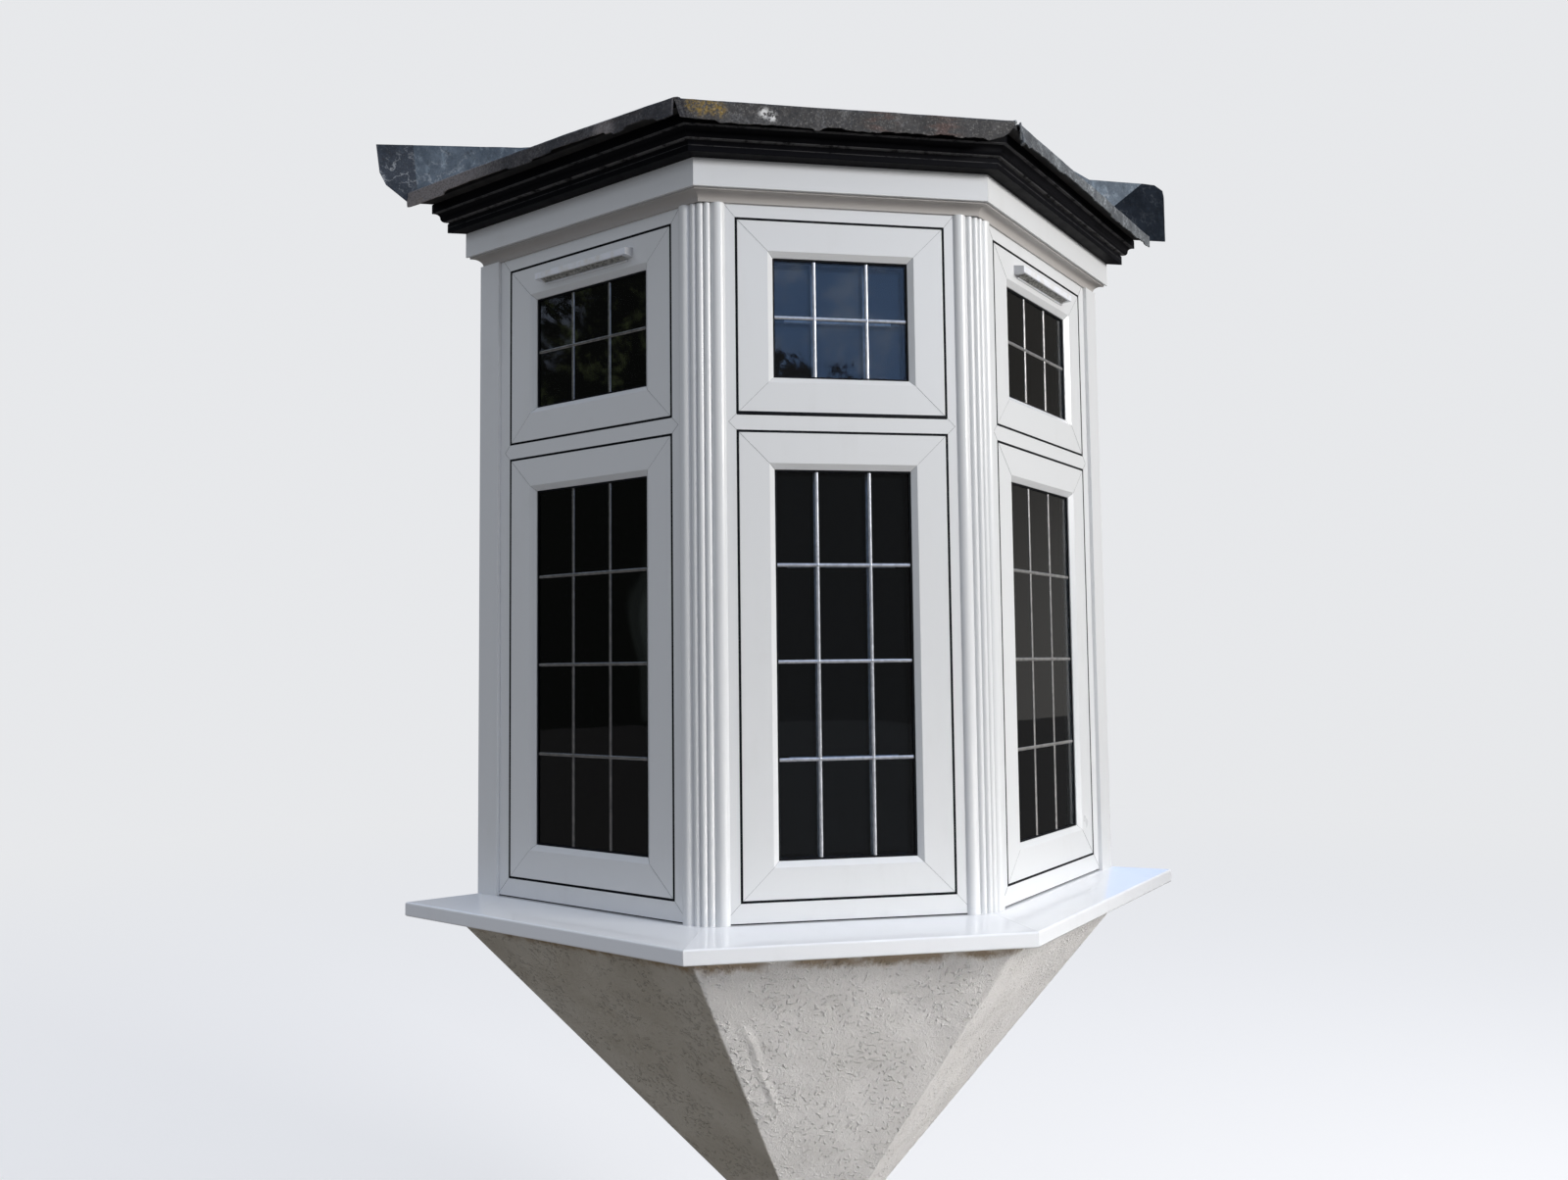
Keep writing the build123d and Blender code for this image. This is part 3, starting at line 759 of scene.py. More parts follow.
@dataclass(frozen=True)
class TrowelledRender:
    """Rough off-white cement render, pimpled, with painted shade on the left facet and damp stains under the
    sill.
    """

    colour: Colour = (0.90, 0.882, 0.866)
    shade: Colour = (0.83, 0.812, 0.792)
    # The left facet's painted shade: a darker, warmer copy of the colour.
    weathered: Colour = (0.61, 0.565, 0.49)
    painted_left_shade_patch: Colour = (0.53, 0.485, 0.41)
    grime: Colour = (0.50, 0.47, 0.42)
    stain: Colour = (0.30, 0.205, 0.11)
    front_half: float = 299 * MM
    lean: float = 299 / 768
    soft: float = 3 * MM

    def make(self) -> Material:
        """Build the material.

        Returns:
            The material.
        """
        sheet = Sheet("trowelled_render")
        patches = sheet.patches(0.4, 0.66, 7, 5, 0.6)
        fine = sheet.noise(55, 6, 0.7)
        height = sheet.axis("Z")
        base = sheet.over(self.colour, self.shade, patches)
        # Painted shade on the left facet, left of its arris.
        weathered = sheet.over(self.weathered, self.painted_left_shade_patch, patches)
        arris = sheet.plus(sheet.axis("X"), height, self.lean)
        left = sheet.step(arris, self.soft - self.front_half, -self.soft - self.front_half)
        base = sheet.over(base, weathered, left)
        base = sheet.over(base, self.grime, sheet.step(fine, 0.6, 0.78), 0.2)
        ragged = sheet.plus(height, sheet.noise(26, 5, 0.75, (1, 1, 0.35)), 0.05)
        damp = sheet.patches(0.34, 0.56, 9, 4)
        base = sheet.over(base, self.stain, sheet.step(ragged, -0.012, 0.006), damp, 0.85)
        rough = sheet.plus(0.2, sheet.patches(0.42, 0.56, 13), 0.8)
        relief = sheet.times(sheet.patches(0.55, 0.68, 115, 2, 0.5), rough)
        relief = sheet.plus(sheet.plus(relief, sheet.noise(260, 4, 0.7), 0.5), fine, 0.5)
        return sheet.shade(
            Base_Color=base, Roughness=0.92, Specular_IOR_Level=0.2, Normal=sheet.bump(relief, 4.4 * MM, 0.9)
        )


@dataclass(frozen=True)
class RoomGlass:
    """A window's double glazing: clear outside, and dark inside as over an unlit room."""

    face: Face
    outer_clear: float = 0.93
    inner_clear: float = 0.03
    tint: Colour = (0.93, 0.97, 1.0)
    dark: Colour = (0.004, 0.005, 0.007)

    def make(self) -> Material:
        """Build the material.

        Returns:
            The material.
        """
        sheet = Sheet(f"room_glass_{self.face.label}")
        middle = self.face.reach - (LAYOUT.glass_setback / 2 + LAYOUT.glass_back / 2)
        out = sheet.node("VectorMath", {0: sheet.place, 1: self.face.outward}, operation="DOT_PRODUCT")
        inner = sheet.step(out.outputs["Value"], middle + MM, middle - MM)
        clear = sheet.plus(self.outer_clear, inner, self.inner_clear - self.outer_clear)
        through = sheet.node("BsdfTransparent", {0: self.tint}).outputs[0]
        # Painted shade: the inner pane is a nearly opaque dark body that stands for the unlit room behind
        # the glass.
        body = sheet.node("BsdfDiffuse", {0: self.dark}).outputs[0]
        mass = sheet.node("MixShader", {0: clear, 1: body, 2: through}).outputs[0]
        ripple = sheet.bump(sheet.noise(3.5, 1, 0.4), 1.2 * MM)
        gloss = sheet.node("BsdfGlossy", {"Roughness": 0.015, "Normal": ripple}).outputs[0]
        rim = sheet.node("Fresnel", {"IOR": 1.5}).outputs[0]
        skin = sheet.node("MixShader", {0: rim, 1: mass, 2: gloss}).outputs[0]
        sheet.feed(sheet.tree.nodes["Material Output"].inputs["Surface"], skin)
        return sheet.material


@dataclass(frozen=True)
class Plain:
    """A finish of one main colour, broken by a second one, with a light bump."""

    name: str
    colour: Colour
    second: Colour
    roughness: float
    metallic: float = 0.0
    scale: float = 60.0
    stretch: Point | None = None
    bump: float = 0.1 * MM
    shine: float = 0.5

    def make(self) -> Material:
        """Build the material.

        Returns:
            The material.
        """
        sheet = Sheet(self.name)
        pattern = sheet.noise(self.scale, 5, 0.65, self.stretch)
        return sheet.shade(
            Base_Color=sheet.over(self.colour, self.second, sheet.step(pattern, 0.35, 0.7)),
            Metallic=self.metallic,
            Roughness=sheet.plus(self.roughness - 0.08, pattern, 0.16),
            Specular_IOR_Level=self.shine,
            Normal=sheet.bump(pattern, self.bump, 0.5),
        )


@dataclass
class LeadedLights:
    """Half-round lead bars on both panes of the glass, soldered where they cross."""

    materials: dict[Face, Material]
    bar_width: float = 6.6 * MM
    bar_rise: float = 1.9 * MM
    column: float = 50.4 * MM
    solder: float = 8.6 * MM
    solder_rise: float = 2.5 * MM

    def masters(self) -> tuple[Piece, Piece]:
        """Model an upright half-round bar, a metre long, and a low dome of solder, both facing -Y.

        Returns:
            The bar and the dome.
        """
        rod = bar((0, 0, -0.5), (0, 0, 0.5), self.bar_width, 2 * self.bar_rise, 16)
        bpy.ops.mesh.primitive_uv_sphere_add(segments=16, ring_count=8, radius=0.5)
        dome = sized((self.solder, 2 * self.solder_rise, self.solder * 0.9))
        for piece in (rod, dome):
            keep_side(piece, Vector((0, 0, 0)), INWARD)
            smooth(piece, 50)
        return rod, dome

    def copy_at(self, master: Piece, at: Point, turn: Matrix) -> Piece:
        """Copy a master piece with its own mesh.

        Args:
            master: the piece to copy.
            at: where the copy goes.
            turn: how it is turned and stretched there.

        Returns:
            The copy.
        """
        piece = master.copy()
        piece.data = master.data.copy()
        bpy.context.collection.objects.link(piece)
        move(piece, Matrix.Translation(at) @ turn)
        return piece

    def make(self, face: Face) -> None:
        """Lay the bars of one window.

        Args:
            face: the window.
        """
        rod, dome = self.masters()
        across = 2 * (face.sash_width / 2 - LAYOUT.sash_sight)
        lying = Matrix.Rotation(math.pi / 2, 4, "Y") @ Matrix.Diagonal((1, 1.06, across, 1))
        layers = (
            (LAYOUT.glass_setback, Matrix.Identity(4)),
            # The middle layer, thinner and lower on the cavity side of the inner pane, is a painted
            # reflection: it stands for the bars' dark reflection in the inner pane.
            (LAYOUT.glass_back - LAYOUT.pane, Matrix.Diagonal((0.8, 0.4, 1, 1))),
            (LAYOUT.glass_back, Matrix.Rotation(math.pi, 4, "Z")),
        )
        copies: list[Piece] = []
        for light, (y, turn) in product(LIGHTS, layers):
            upright = Matrix.Diagonal((1, 1, light.height - 2 * LAYOUT.sash_sight, 1))
            for x in (-self.column, self.column):
                copies.append(self.copy_at(rod, (x, y, light.middle), turn @ upright))
                copies.extend(self.copy_at(dome, (x, y, z), turn) for z in light.rows)
            copies.extend(self.copy_at(rod, (0, y, z), turn @ lying) for z in light.rows)
        for master in (rod, dome):
            bpy.data.objects.remove(master)
        piece = join(copies)
        move(piece, face.place)
        add_piece(piece, f"leaded_bars_{face.label}", self.materials[face])


@dataclass
class Seals:
    """Black gaskets: round the sashes, round the glass on both sides, and the spacers; the sash rings spread
    past their gaps as painted shadow, and a wide black strip under the front's upper sash is painted shade.
    """

    rubber: Material
    spacer: Material
    proud: float = 0.12 * MM
    overlap: float = 0.5 * MM
    depth: float = 4 * MM
    lip: float = 3.8 * MM
    lip_rise: float = 3.0 * MM
    lip_round: float = 1.2 * MM
    bead_rise: float = 2.0 * MM
    spacer_lap: float = 8 * MM
    spacer_show: float = 1.5 * MM
    spacer_clear: float = 0.1 * MM
    joint: float = 2.8 * MM
    joint_width: float = 2.4 * MM
    joint_in: float = 5 * MM
    strip: Point = (6 * MM, 2 * MM, 7.2 * MM)
    strip_proud: float = 0.25 * MM

    def gap_shadow_strip(self) -> Piece:
        """Model a wide black strip under the front's upper sash, in the window's own frame: painted shade
        for the deep gap there.

        Returns:
            The gasket.
        """
        more, depth, height = self.strip
        middle = LIGHTS[1].base - LAYOUT.sash_gap / 2
        bpy.ops.mesh.primitive_cube_add(size=1, location=(0, depth / 2 - self.strip_proud, middle))
        piece = sized((Face.FRONT.sash_width + more, depth, height))
        modify(piece, "BEVEL", width=0.2 * MM, segments=2)
        return piece

    def make(self, face: Face) -> None:
        """Fit the seals of one window.

        Args:
            face: the window.
        """
        width = face.sash_width
        # Painted shadow: each sash ring overlaps the frame and sash faces, so the gap's dark line is wider
        # than the real gasket.
        gap = 2 * (LAYOUT.sash_gap + self.overlap)
        rail = LAYOUT.sash_gap + 2 * self.overlap
        cavity = LAYOUT.glass_back - LAYOUT.glass_setback - 2 * LAYOUT.pane - 2 * self.spacer_clear
        rubbers: list[Piece] = []
        bars: list[Piece] = []
        for light in LIGHTS:
            seal = ring((width + gap, light.height + gap), light.middle, rail, self.proud, self.depth)
            sight = (width - 2 * LAYOUT.sash_sight, light.height - 2 * LAYOUT.sash_sight)
            lip = ring(sight, light.middle, self.lip, self.lip_rise - LAYOUT.glass_setback, self.lip_rise)
            modify(lip, "BEVEL", width=self.lip_round, segments=3, limit_method="ANGLE")
            back = ring(sight, light.middle, self.lip, -LAYOUT.glass_back, self.bead_rise)
            rubbers.extend((seal, lip, back))
            outer = (sight[0] + 2 * self.spacer_lap, sight[1] + 2 * self.spacer_lap)
            front = -LAYOUT.glass_setback - LAYOUT.pane - self.spacer_clear
            bars.append(ring(outer, light.middle, self.spacer_lap + self.spacer_show, front, cavity))
        side = (width + 2 * (LAYOUT.sash_gap + LAYOUT.frame_rail)) / 2
        level = LAYOUT.frame_base + self.joint / 2
        ends = ((-side, self.joint_in, level), (side, self.joint_in, level))
        rubbers.append(bar(*ends, self.joint_width, self.joint, 10))
        if face is Face.FRONT:
            rubbers.append(self.gap_shadow_strip())
        for pieces, name, material in ((rubbers, "seals", self.rubber), (bars, "spacers", self.spacer)):
            piece = join(pieces)
            move(piece, face.place)
            smooth(piece, 50)
            add_piece(piece, f"{name}_{face.label}", material)


@dataclass
class WeldLines:
    """The fine seams where the rails of the sashes and frames are welded."""

    material: Material
    width: float = 1.1 * MM
    depth: float = 0.6 * MM
    sunk: float = 0.12 * MM
    nick: float = 1.2 * MM
    foot_up: float = 3 * MM
    tee: float = 15 * MM
    faint_in_light: float = 0.5

    def seam(self, start: Point, end: Point, share: float = 1.0) -> Piece:
        """Model one seam, half sunk in the surface, at a share of the full width."""
        return bar(start, end, self.width * share, self.depth, 6)

    def sash_seams(self, width: float, light: Light) -> list[Piece]:
        """Model the seams at the four corners of a sash.

        Args:
            width: the sash's width.
            light: the sash's opening.

        Returns:
            At each corner, the seam on the face and the seam on the bevel.
        """
        seams: list[Piece] = []
        turns = (
            (self.nick, self.sunk), (LAYOUT.sash_face, self.sunk),
            (LAYOUT.sash_sight, LAYOUT.bevel_depth),
        )
        for right, up in product(SIDES, SIDES):
            # Painted light: seams at the top right and bottom left are drawn at half width, for seams that
            # the light leaves faint.
            share = 1.0 if right * up < 0 else self.faint_in_light
            outer, fold, inner = (
                (right * (width / 2 - inset), y, light.middle + up * (light.height / 2 - inset))
                for inset, y in turns
            )
            seams.extend((self.seam(outer, fold, share), self.seam(fold, inner, share)))
        return seams

    def make(self, face: Face) -> None:
        """Draw the seams of one window.

        Args:
            face: the window.
        """
        lower, upper = LIGHTS
        seams = self.sash_seams(face.sash_width, lower) + self.sash_seams(face.sash_width, upper)
        edge = face.sash_width / 2 + LAYOUT.sash_gap
        foot, head = lower.base - LAYOUT.sash_gap, upper.top + LAYOUT.sash_gap
        bar_foot, bar_head = lower.top + LAYOUT.sash_gap, upper.base - LAYOUT.sash_gap
        for side in SIDES:
            outer = side * (edge + LAYOUT.frame_rail)
            tip = (side * (edge + self.tee), (bar_foot + bar_head) / 2)
            for level, end in (
                (foot, (outer, LAYOUT.frame_base + self.foot_up)),
                (head, (outer, LAYOUT.frame_top)),
                (bar_foot, tip),
                (bar_head, tip),
            ):
                seams.append(self.seam((side * edge, self.sunk, level), (end[0], self.sunk, end[1])))
        piece = join(seams)
        move(piece, face.place)
        add_piece(piece, f"weld_lines_{face.label}", self.material)


@dataclass
class VentGrilles:
    """The ribbed strips in the slots beneath the trickle vents, each with a lip below."""

    material: Material
    plastic: Material
    length: float = 226 * MM
    base: float = 1.2938
    out: float = 11 * MM
    rib: float = 1.4 * MM
    rib_inset: float = 0.5 * MM
    pitch: float = 3.2 * MM
    height: float = 1.8 * MM
    depth: float = 14.6 * MM
    rail: float = 1.6 * MM
    rail_spread: float = 4.6 * MM
    lip: float = 3.6 * MM
    lip_out: float = 1.6 * MM
    sag: float = 5 * MM

    def rod(self, out: float, level: float, width: float, sides: int) -> Piece:
        """Model a rod along the whole grille, at a distance in front of the face and a height."""
        return bar((-self.length / 2, -out, level), (self.length / 2, -out, level), width, width, sides)

    def make(self, face: Face) -> None:
        """Fit the grille and the lip of one side window.

        Args:
            face: the window.
        """
        middle = self.base + self.height / 2
        start = -self.length / 2 + self.rib / 2 + self.rib_inset
        bpy.ops.mesh.primitive_cube_add(size=1, location=(start, -self.out, middle))
        ribs = sized((self.rib, self.depth, self.height))
        modify(ribs, "BEVEL", width=0.3 * MM, segments=1)
        modify(
            ribs, "ARRAY", count=int(self.length / self.pitch), use_relative_offset=False,
            use_constant_offset=True, constant_offset_displace=(self.pitch, 0, 0),
        )
        spreads = (-self.rail_spread, 0.0, self.rail_spread)
        piece = join([ribs, *(self.rod(self.out + spread, middle, self.rail, 8) for spread in spreads)])
        hinge = Matrix.Translation((0, -self.out - self.depth / 2, self.base))
        tilt = Matrix.Rotation(-math.asin(self.sag / self.depth), 4, "X")
        move(piece, face.place @ hinge @ tilt @ hinge.inverted())
        add_piece(piece, f"vent_grille_{face.label}", self.material)
        lip = self.rod(self.lip_out, self.base - self.sag - self.height / 2, self.lip, 12)
        move(lip, face.place)
        smooth(lip, 50)
        add_piece(lip, f"vent_lip_{face.label}", self.plastic)


@dataclass
class LeadRoof:
    """Dressed lead on the three slopes, turned down as a drip, with welted hips."""

    materials: dict[Face, Material]
    out: float = 108 * MM
    left_out: float = 117 * MM
    drip: float = 24 * MM
    front_drip: float = 36 * MM
    thickness: float = 2.4 * MM
    edge: float = 1.50137
    pitch: float = math.radians(12)
    step: float = 43 * MM
    steps: int = 12
    cuts: int = 330
    run: float = 1.60
    fold: tuple[Point, ...] = ((0, 1.2 * MM, 1.5 * MM), (0, 2.6 * MM, 0.9 * MM))
    welt: tuple[float, float] = (7 * MM, 8 * MM)
    welt_short: float = 4 * MM
    welt_cut: float = 14 * MM
    welt_cuts: int = 39
    wall_gap: float = 3 * MM
    hem_fade: float = 20 * MM
    hem_soft: float = 3 * MM
    hem_band: float = 9 * MM
    slope_share: float = 0.3
    sprung: tuple[float, float] = (-302 * MM, 325 * MM)
    sprung_rise: float = 12 * MM
    sprung_depth: float = 350 * MM
    sprung_curve: float = 1.8
    front_lap: float = 8 * MM
    front_plane: float = 526.2 * MM
    torn: float = -320.5 * MM
    torn_normal: Point = (-0.953, 0, -0.304)
    curl_inset: float = 4 * MM
    curl: tuple[Point, ...] = ((2, 6, 0.35), (9, 18, 0.75), (18, 26, 1.4), (28, 31, 3.0))
    right_gap: float = 15 * MM
    gap_depth: float = 90 * MM
    roll_inset: float = 21 * MM
    roll_rise: float = 7 * MM
    roll_width: float = 15 * MM
    roll_flat: float = 0.66
    roll_back: float = 4 * MM
    roll_lean: float = 3 * MM
    roll_hang: float = 10 * MM
    hem_steps: dict[Face, tuple[Point, ...]] = field(
        default_factory=lambda: {
            Face.FRONT: (
                (-0.320, -0.243, -2.8 * MM), (-0.243, -0.170, 0.8 * MM), (-0.071, -0.056, 4.5 * MM),
                (-0.050, -0.014, -2.5 * MM), (0.008, 0.052, 1.8 * MM), (0.053, 0.080, -2.5 * MM),
                (0.160, 0.194, -2.5 * MM), (0.197, 0.212, 1.4 * MM), (0.222, 0.250, -1.6 * MM),
                (0.255, 0.286, 1.8 * MM),
            ),
            Face.LEFT: (
                (0.285, 0.350, 7 * MM), (0.215, 0.270, -2.5 * MM), (0.180, 0.212, 4 * MM),
                (0.020, 0.165, -4.5 * MM), (-0.100, -0.030, 4 * MM), (-0.430, -0.290, 7 * MM),
            ),
            Face.RIGHT: ((-0.340, -0.270, 5 * MM), (-0.110, 0.050, -3.5 * MM), (0.150, 0.330, 3 * MM)),
        }
    )

    def drop(self, face: Face) -> float:
        """Give how far a slope's edge is turned down."""
        return self.front_drip if face is Face.FRONT else self.drip

    def mitre(self, side: int) -> tuple[Vector, Vector]:
        """Give a point on the mitre plane at a side, and its normal, which points to that side."""
        point = Vector((side * LAYOUT.face_half, -LAYOUT.bay_depth, 0))
        return point, Vector((side * math.cos(HALF_CANT), math.sin(HALF_CANT), 0))

    def hip_point(self, side: int, out: float) -> Vector:
        """Give the hip's point at a side, at a distance in front of the window faces."""
        x = side * (LAYOUT.face_half + out * math.tan(HALF_CANT))
        return Vector((x, -LAYOUT.bay_depth - out, self.edge + (self.out - out) * math.tan(self.pitch)))

    def drip_sheet(self, face: Face) -> Piece:
        """Model a long sheet with its drip, in a window's own frame.

        Args:
            face: the window below it.

        Returns:
            The sheet.
        """
        drip = self.drop(face)
        out = self.left_out if face is Face.LEFT else self.out
        bpy.ops.mesh.primitive_grid_add(
            x_subdivisions=self.cuts, y_subdivisions=9, size=1,
            location=(0, -out, self.edge - drip / 2), rotation=(math.pi / 2, 0, 0),
        )
        piece = sized((self.run, drip, 1))
        slope = (0, self.step, self.step * math.tan(self.pitch))
        with editing(piece):
            pick_edges(piece, lambda end: end.z > self.edge - 0.1 * MM)
            for step in (*self.fold, *[slope] * self.steps):
                bpy.ops.mesh.extrude_edges_move(TRANSFORM_OT_translate={"value": step})
        return piece

    def shape_hem(self, piece: Piece, face: Face) -> None:
        """Lift the hem where it is torn and let it down where it hangs, in the window's own frame.

        Args:
            piece: the sheet.
            face: the window below it.
        """
        steps = self.hem_steps[face]
        low = self.edge - self.drop(face)
        soft = self.hem_soft

        def share(co: Vector, sign: int, most: float) -> float:
            """Give the part of the greatest move that a point takes.

            Args:
                co: the point.
                sign: 1 for the steps that hang down, -1 for those that are lifted.
                most: the greatest move.

            Returns:
                The part, from 0 to 1.
            """
            fade = 1 - max(co.z - low, 0) / self.hem_fade
            return fade * max(
                sign * drop / most * max(0.0, min(1.0, (co.x - start) / soft, (end - co.x) / soft))
                for start, end, drop in steps
            )

        for name, sign in (("let_down", 1), ("lifted", -1)):
            most = max(sign * drop for _, _, drop in steps)
            group_points(piece, name, lambda co: share(co, sign, most))
            shift(piece, -sign * most, name)

    def spring(self, piece: Piece) -> None:
        """Let the left sheet's edge rise off the cornice, more towards the wall.

        Args:
            piece: the sheet, in the window's own frame.
        """
        start, end = self.sprung

        def share(co: Vector) -> float:
            """Give the part of the rise that a point takes.

            Args:
                co: the point.

            Returns:
                The part, from 0 to 1.
            """
            along = max(0.0, min(1.0, (co.x - start) / (end - start)))
            up_slope = max(0.0, co.y + self.left_out) / self.sprung_depth
            return max(0.0, 1 - up_slope) * (1 - along**self.sprung_curve)

        group_points(piece, "sprung", share)
        shift(piece, self.sprung_rise, "sprung")

    def dress(self, piece: Piece, drip: float) -> None:
        """Give a placed sheet its dents, its ragged edge and its thickness.

        Args:
            piece: the sheet, already where it lies.
            drip: how far its edge is turned down.
        """
        group_points(piece, "hem", lambda co: 1 - (co.z - (self.edge - drip)) / self.hem_band)
        group_points(piece, "skirt", lambda co: 1.0 if co.z < self.edge + MM else self.slope_share)
        displace(piece, "lead_waves", 0.13, 5 * MM, "skirt")
        displace(piece, "lead_dents", 0.026, 2.6 * MM, "skirt")
        displace(piece, "lead_rags", 0.016, 5.5 * MM, "hem", "Z", 4)
        displace(piece, "lead_hem", 0.06, 5 * MM, "hem", "Z")
        modify(piece, "SOLIDIFY", thickness=self.thickness, offset=-1)

    def tear_corners(self, piece: Piece) -> None:
        """Cut the front sheet's lower right corner away in facets, and its left end at a slant.

        Args:
            piece: the front sheet.
        """
        corner = LAYOUT.face_half + self.out * math.tan(HALF_CANT) - self.curl_inset
        for inset, drop, lean in self.curl:
            start = Vector((corner - inset * MM, 0, self.edge - drop * MM))
            keep_side(piece, start, Vector((1, 0, -lean)).normalized())
        keep_side(piece, Vector((self.torn, 0, self.edge)), Vector(self.torn_normal))

    def open_corner(self, piece: Piece) -> None:
        """Cut the right sheet back from its corner, by less further up the hip.

        Args:
            piece: the right sheet.
        """
        corner = LAYOUT.side_centre + self.out * math.tan(HALF_CANT) - self.right_gap
        edge = Face.RIGHT.place @ Vector((-corner, -self.out, 0))
        run = edge - self.hip_point(1, self.out - self.gap_depth)
        keep_side(piece, edge, Vector((run.y, -run.x, 0)).normalized())

    def make(self, face: Face) -> None:
        """Lay the lead of one slope.

        Args:
            face: the window below the slope.
        """
        piece = self.drip_sheet(face)
        self.shape_hem(piece, face)
        if face is Face.LEFT:
            self.spring(piece)
        move(piece, face.place)
        self.dress(piece, self.drop(face))
        for side in SIDES:
            point, normal = self.mitre(side)
            if face is Face.FRONT:
                lap = self.front_lap if side < 0 else 0.0
                keep_side(piece, point + normal * lap, normal)
            elif face.value == side:
                keep_side(piece, point, -normal)
        if face is Face.FRONT:
            self.tear_corners(piece)
        elif face is Face.LEFT:
            keep_side(piece, Vector((0, -self.front_plane, 0)), -INWARD)
        else:
            self.open_corner(piece)
        keep_side(piece, Vector((0, -self.wall_gap, 0)), INWARD)
        close_outward(piece)
        smooth(piece, 45)
        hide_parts(f"lead_{face.label}")
        add_piece(piece, f"lead_sheet_{face.label}", self.materials[face])

    def hip(self, face: Face) -> None:
        """Fold a welt along the hip beside one side slope.

        Args:
            face: the side window below the slope.
        """
        foot = self.hip_point(face.value, self.out - self.welt_short)
        head = self.hip_point(face.value, self.wall_gap - LAYOUT.bay_depth)
        piece = bar(foot, head, *self.welt, 14)
        with editing(piece, everything=True):
            bpy.ops.mesh.subdivide(number_cuts=3)
        axis = (foot - self.hip_point(face.value, 0)).normalized()
        for count in range(1, self.welt_cuts + 1):
            with editing(piece, everything=True):
                bpy.ops.mesh.bisect(plane_co=foot - axis * (count * self.welt_cut), plane_no=axis)
        displace(piece, "welt_dents", 0.04, 3.0 * MM)
        keep_side(piece, Vector((0, -self.wall_gap, 0)), INWARD)
        close_outward(piece)
        smooth(piece, 60)
        add_piece(piece, f"hip_welt_{face.label}", self.materials[face])

    def roll(self) -> None:
        """Hang the folded end of the right sheet at its corner."""
        place = Face.RIGHT.place
        width = self.roll_width
        top = self.edge + self.roll_rise
        corner = -(LAYOUT.side_centre + (self.out - 2 * MM) * math.tan(HALF_CANT) - self.roll_inset)
        head = place @ Vector((corner, self.roll_back - self.out, top))
        low = self.edge - self.drip - self.roll_hang
        foot = place @ Vector((corner + self.roll_lean, -self.out, low))
        piece = bar(foot, head, width, width * self.roll_flat, 14)
        with editing(piece):
            pick_faces(piece, lambda centre, normal: centre.z > top - 3 * MM and normal.z > 0.5)
            bpy.ops.transform.resize(value=(0.3, 0.3, 1))
            bpy.ops.mesh.select_all(action="SELECT")
            bpy.ops.mesh.subdivide(number_cuts=5)
        displace(piece, "roll_dents", 0.012, 3.0 * MM)
        smooth(piece, 60)
        add_piece(piece, "corner_roll_right", self.materials[Face.RIGHT])


@dataclass
class WallFlashing:
    """Lead sheets dressed onto the wall above the roof, lapped towards both ends, with a painted shadow
    sheet over the right end.
    """

    sheet: Material
    tail_and_shadow_finishes: dict[str, Material]
    set_off: float = 3.3 * MM
    thickness: float = 1.8 * MM
    lap: float = 0.35 * MM
    cell: float = 9 * MM
    outlines: dict[str, Outline] = field(
        default_factory=lambda: {
            "right": ((0.0, 1.4925), (0.690, 1.4925), (0.690, 1.631), (0.640, 1.6565), (0.0, 1.6960)),
            "right_end": (
                (0.672, 1.4925), (0.8755, 1.4925), (0.8755, 1.600), (0.8725, 1.6145), (0.8525, 1.627),
                (0.8205, 1.629), (0.672, 1.6315),
            ),
            "left": ((0.0, 1.4925), (0.0, 1.6960), (-0.612, 1.6280), (-0.612, 1.4925)),
            "left_end": (
                (-0.590, 1.4925), (-0.590, 1.6285), (-0.880, 1.6175), (-0.866, 1.512), (-0.846, 1.4925),
            ),
            "left_tail": (
                (-0.826, 1.4925), (-0.838, 1.6192), (-0.9135, 1.616), (-0.906, 1.556), (-0.893, 1.530),
                (-0.846, 1.4925),
            ),
            # Painted shadow: a near-black sheet over the right end, up to the line where shadow falls across
            # it.
            "right_tail": (
                (0.654, 1.4925), (0.8755, 1.4925), (0.8755, 1.600), (0.8725, 1.6145), (0.8525, 1.627),
                (0.8205, 1.629),
            ),
        }
    )

    def panel(self, name: str, outline: Outline, lift: float) -> Piece:
        """Model one sheet flat on the wall, cut to a convex outline, then dented and thickened.

        Args:
            name: the sheet's name.
            outline: its corners, as (x, z).
            lift: how much thicker it is than the sheet that it laps.

        Returns:
            The sheet.
        """
        xs, zs = zip(*outline)
        width, height = max(xs) - min(xs), max(zs) - min(zs)
        bpy.ops.mesh.primitive_grid_add(
            x_subdivisions=int(width / self.cell) + 2, y_subdivisions=int(height / self.cell) + 2, size=1,
            location=(min(xs) + width / 2, -self.set_off - lift, min(zs) + height / 2),
            rotation=(math.pi / 2, 0, 0),
        )
        piece = sized((width, height, 1))
        corners = [Vector((x, 0, z)) for x, z in outline]
        middle = Vector((sum(xs) / len(xs), 0, sum(zs) / len(zs)))
        for start, end in zip(corners, corners[1:] + corners[:1]):
            normal = (end - start).cross(INWARD).normalized()
            keep_side(piece, start, -normal if normal.dot(middle - start) > 0 else normal, fill=False)
        displace(piece, f"flashing_{name}", 0.05, 1.8 * MM, direction="Y", depth=3)
        modify(piece, "SOLIDIFY", thickness=self.thickness + lift, offset=-1)
        close_outward(piece)
        smooth(piece, 45)
        return piece

    def make(self) -> None:
        """Dress the sheets, each end and tail over the one before."""
        for name, outline in self.outlines.items():
            layer = ("_end" in name) + 2 * ("_tail" in name)
            piece = self.panel(name, outline, layer * self.lap)
            add_piece(piece, f"flashing_{name}", self.tail_and_shadow_finishes.get(name, self.sheet))
        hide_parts("wall_flashing")


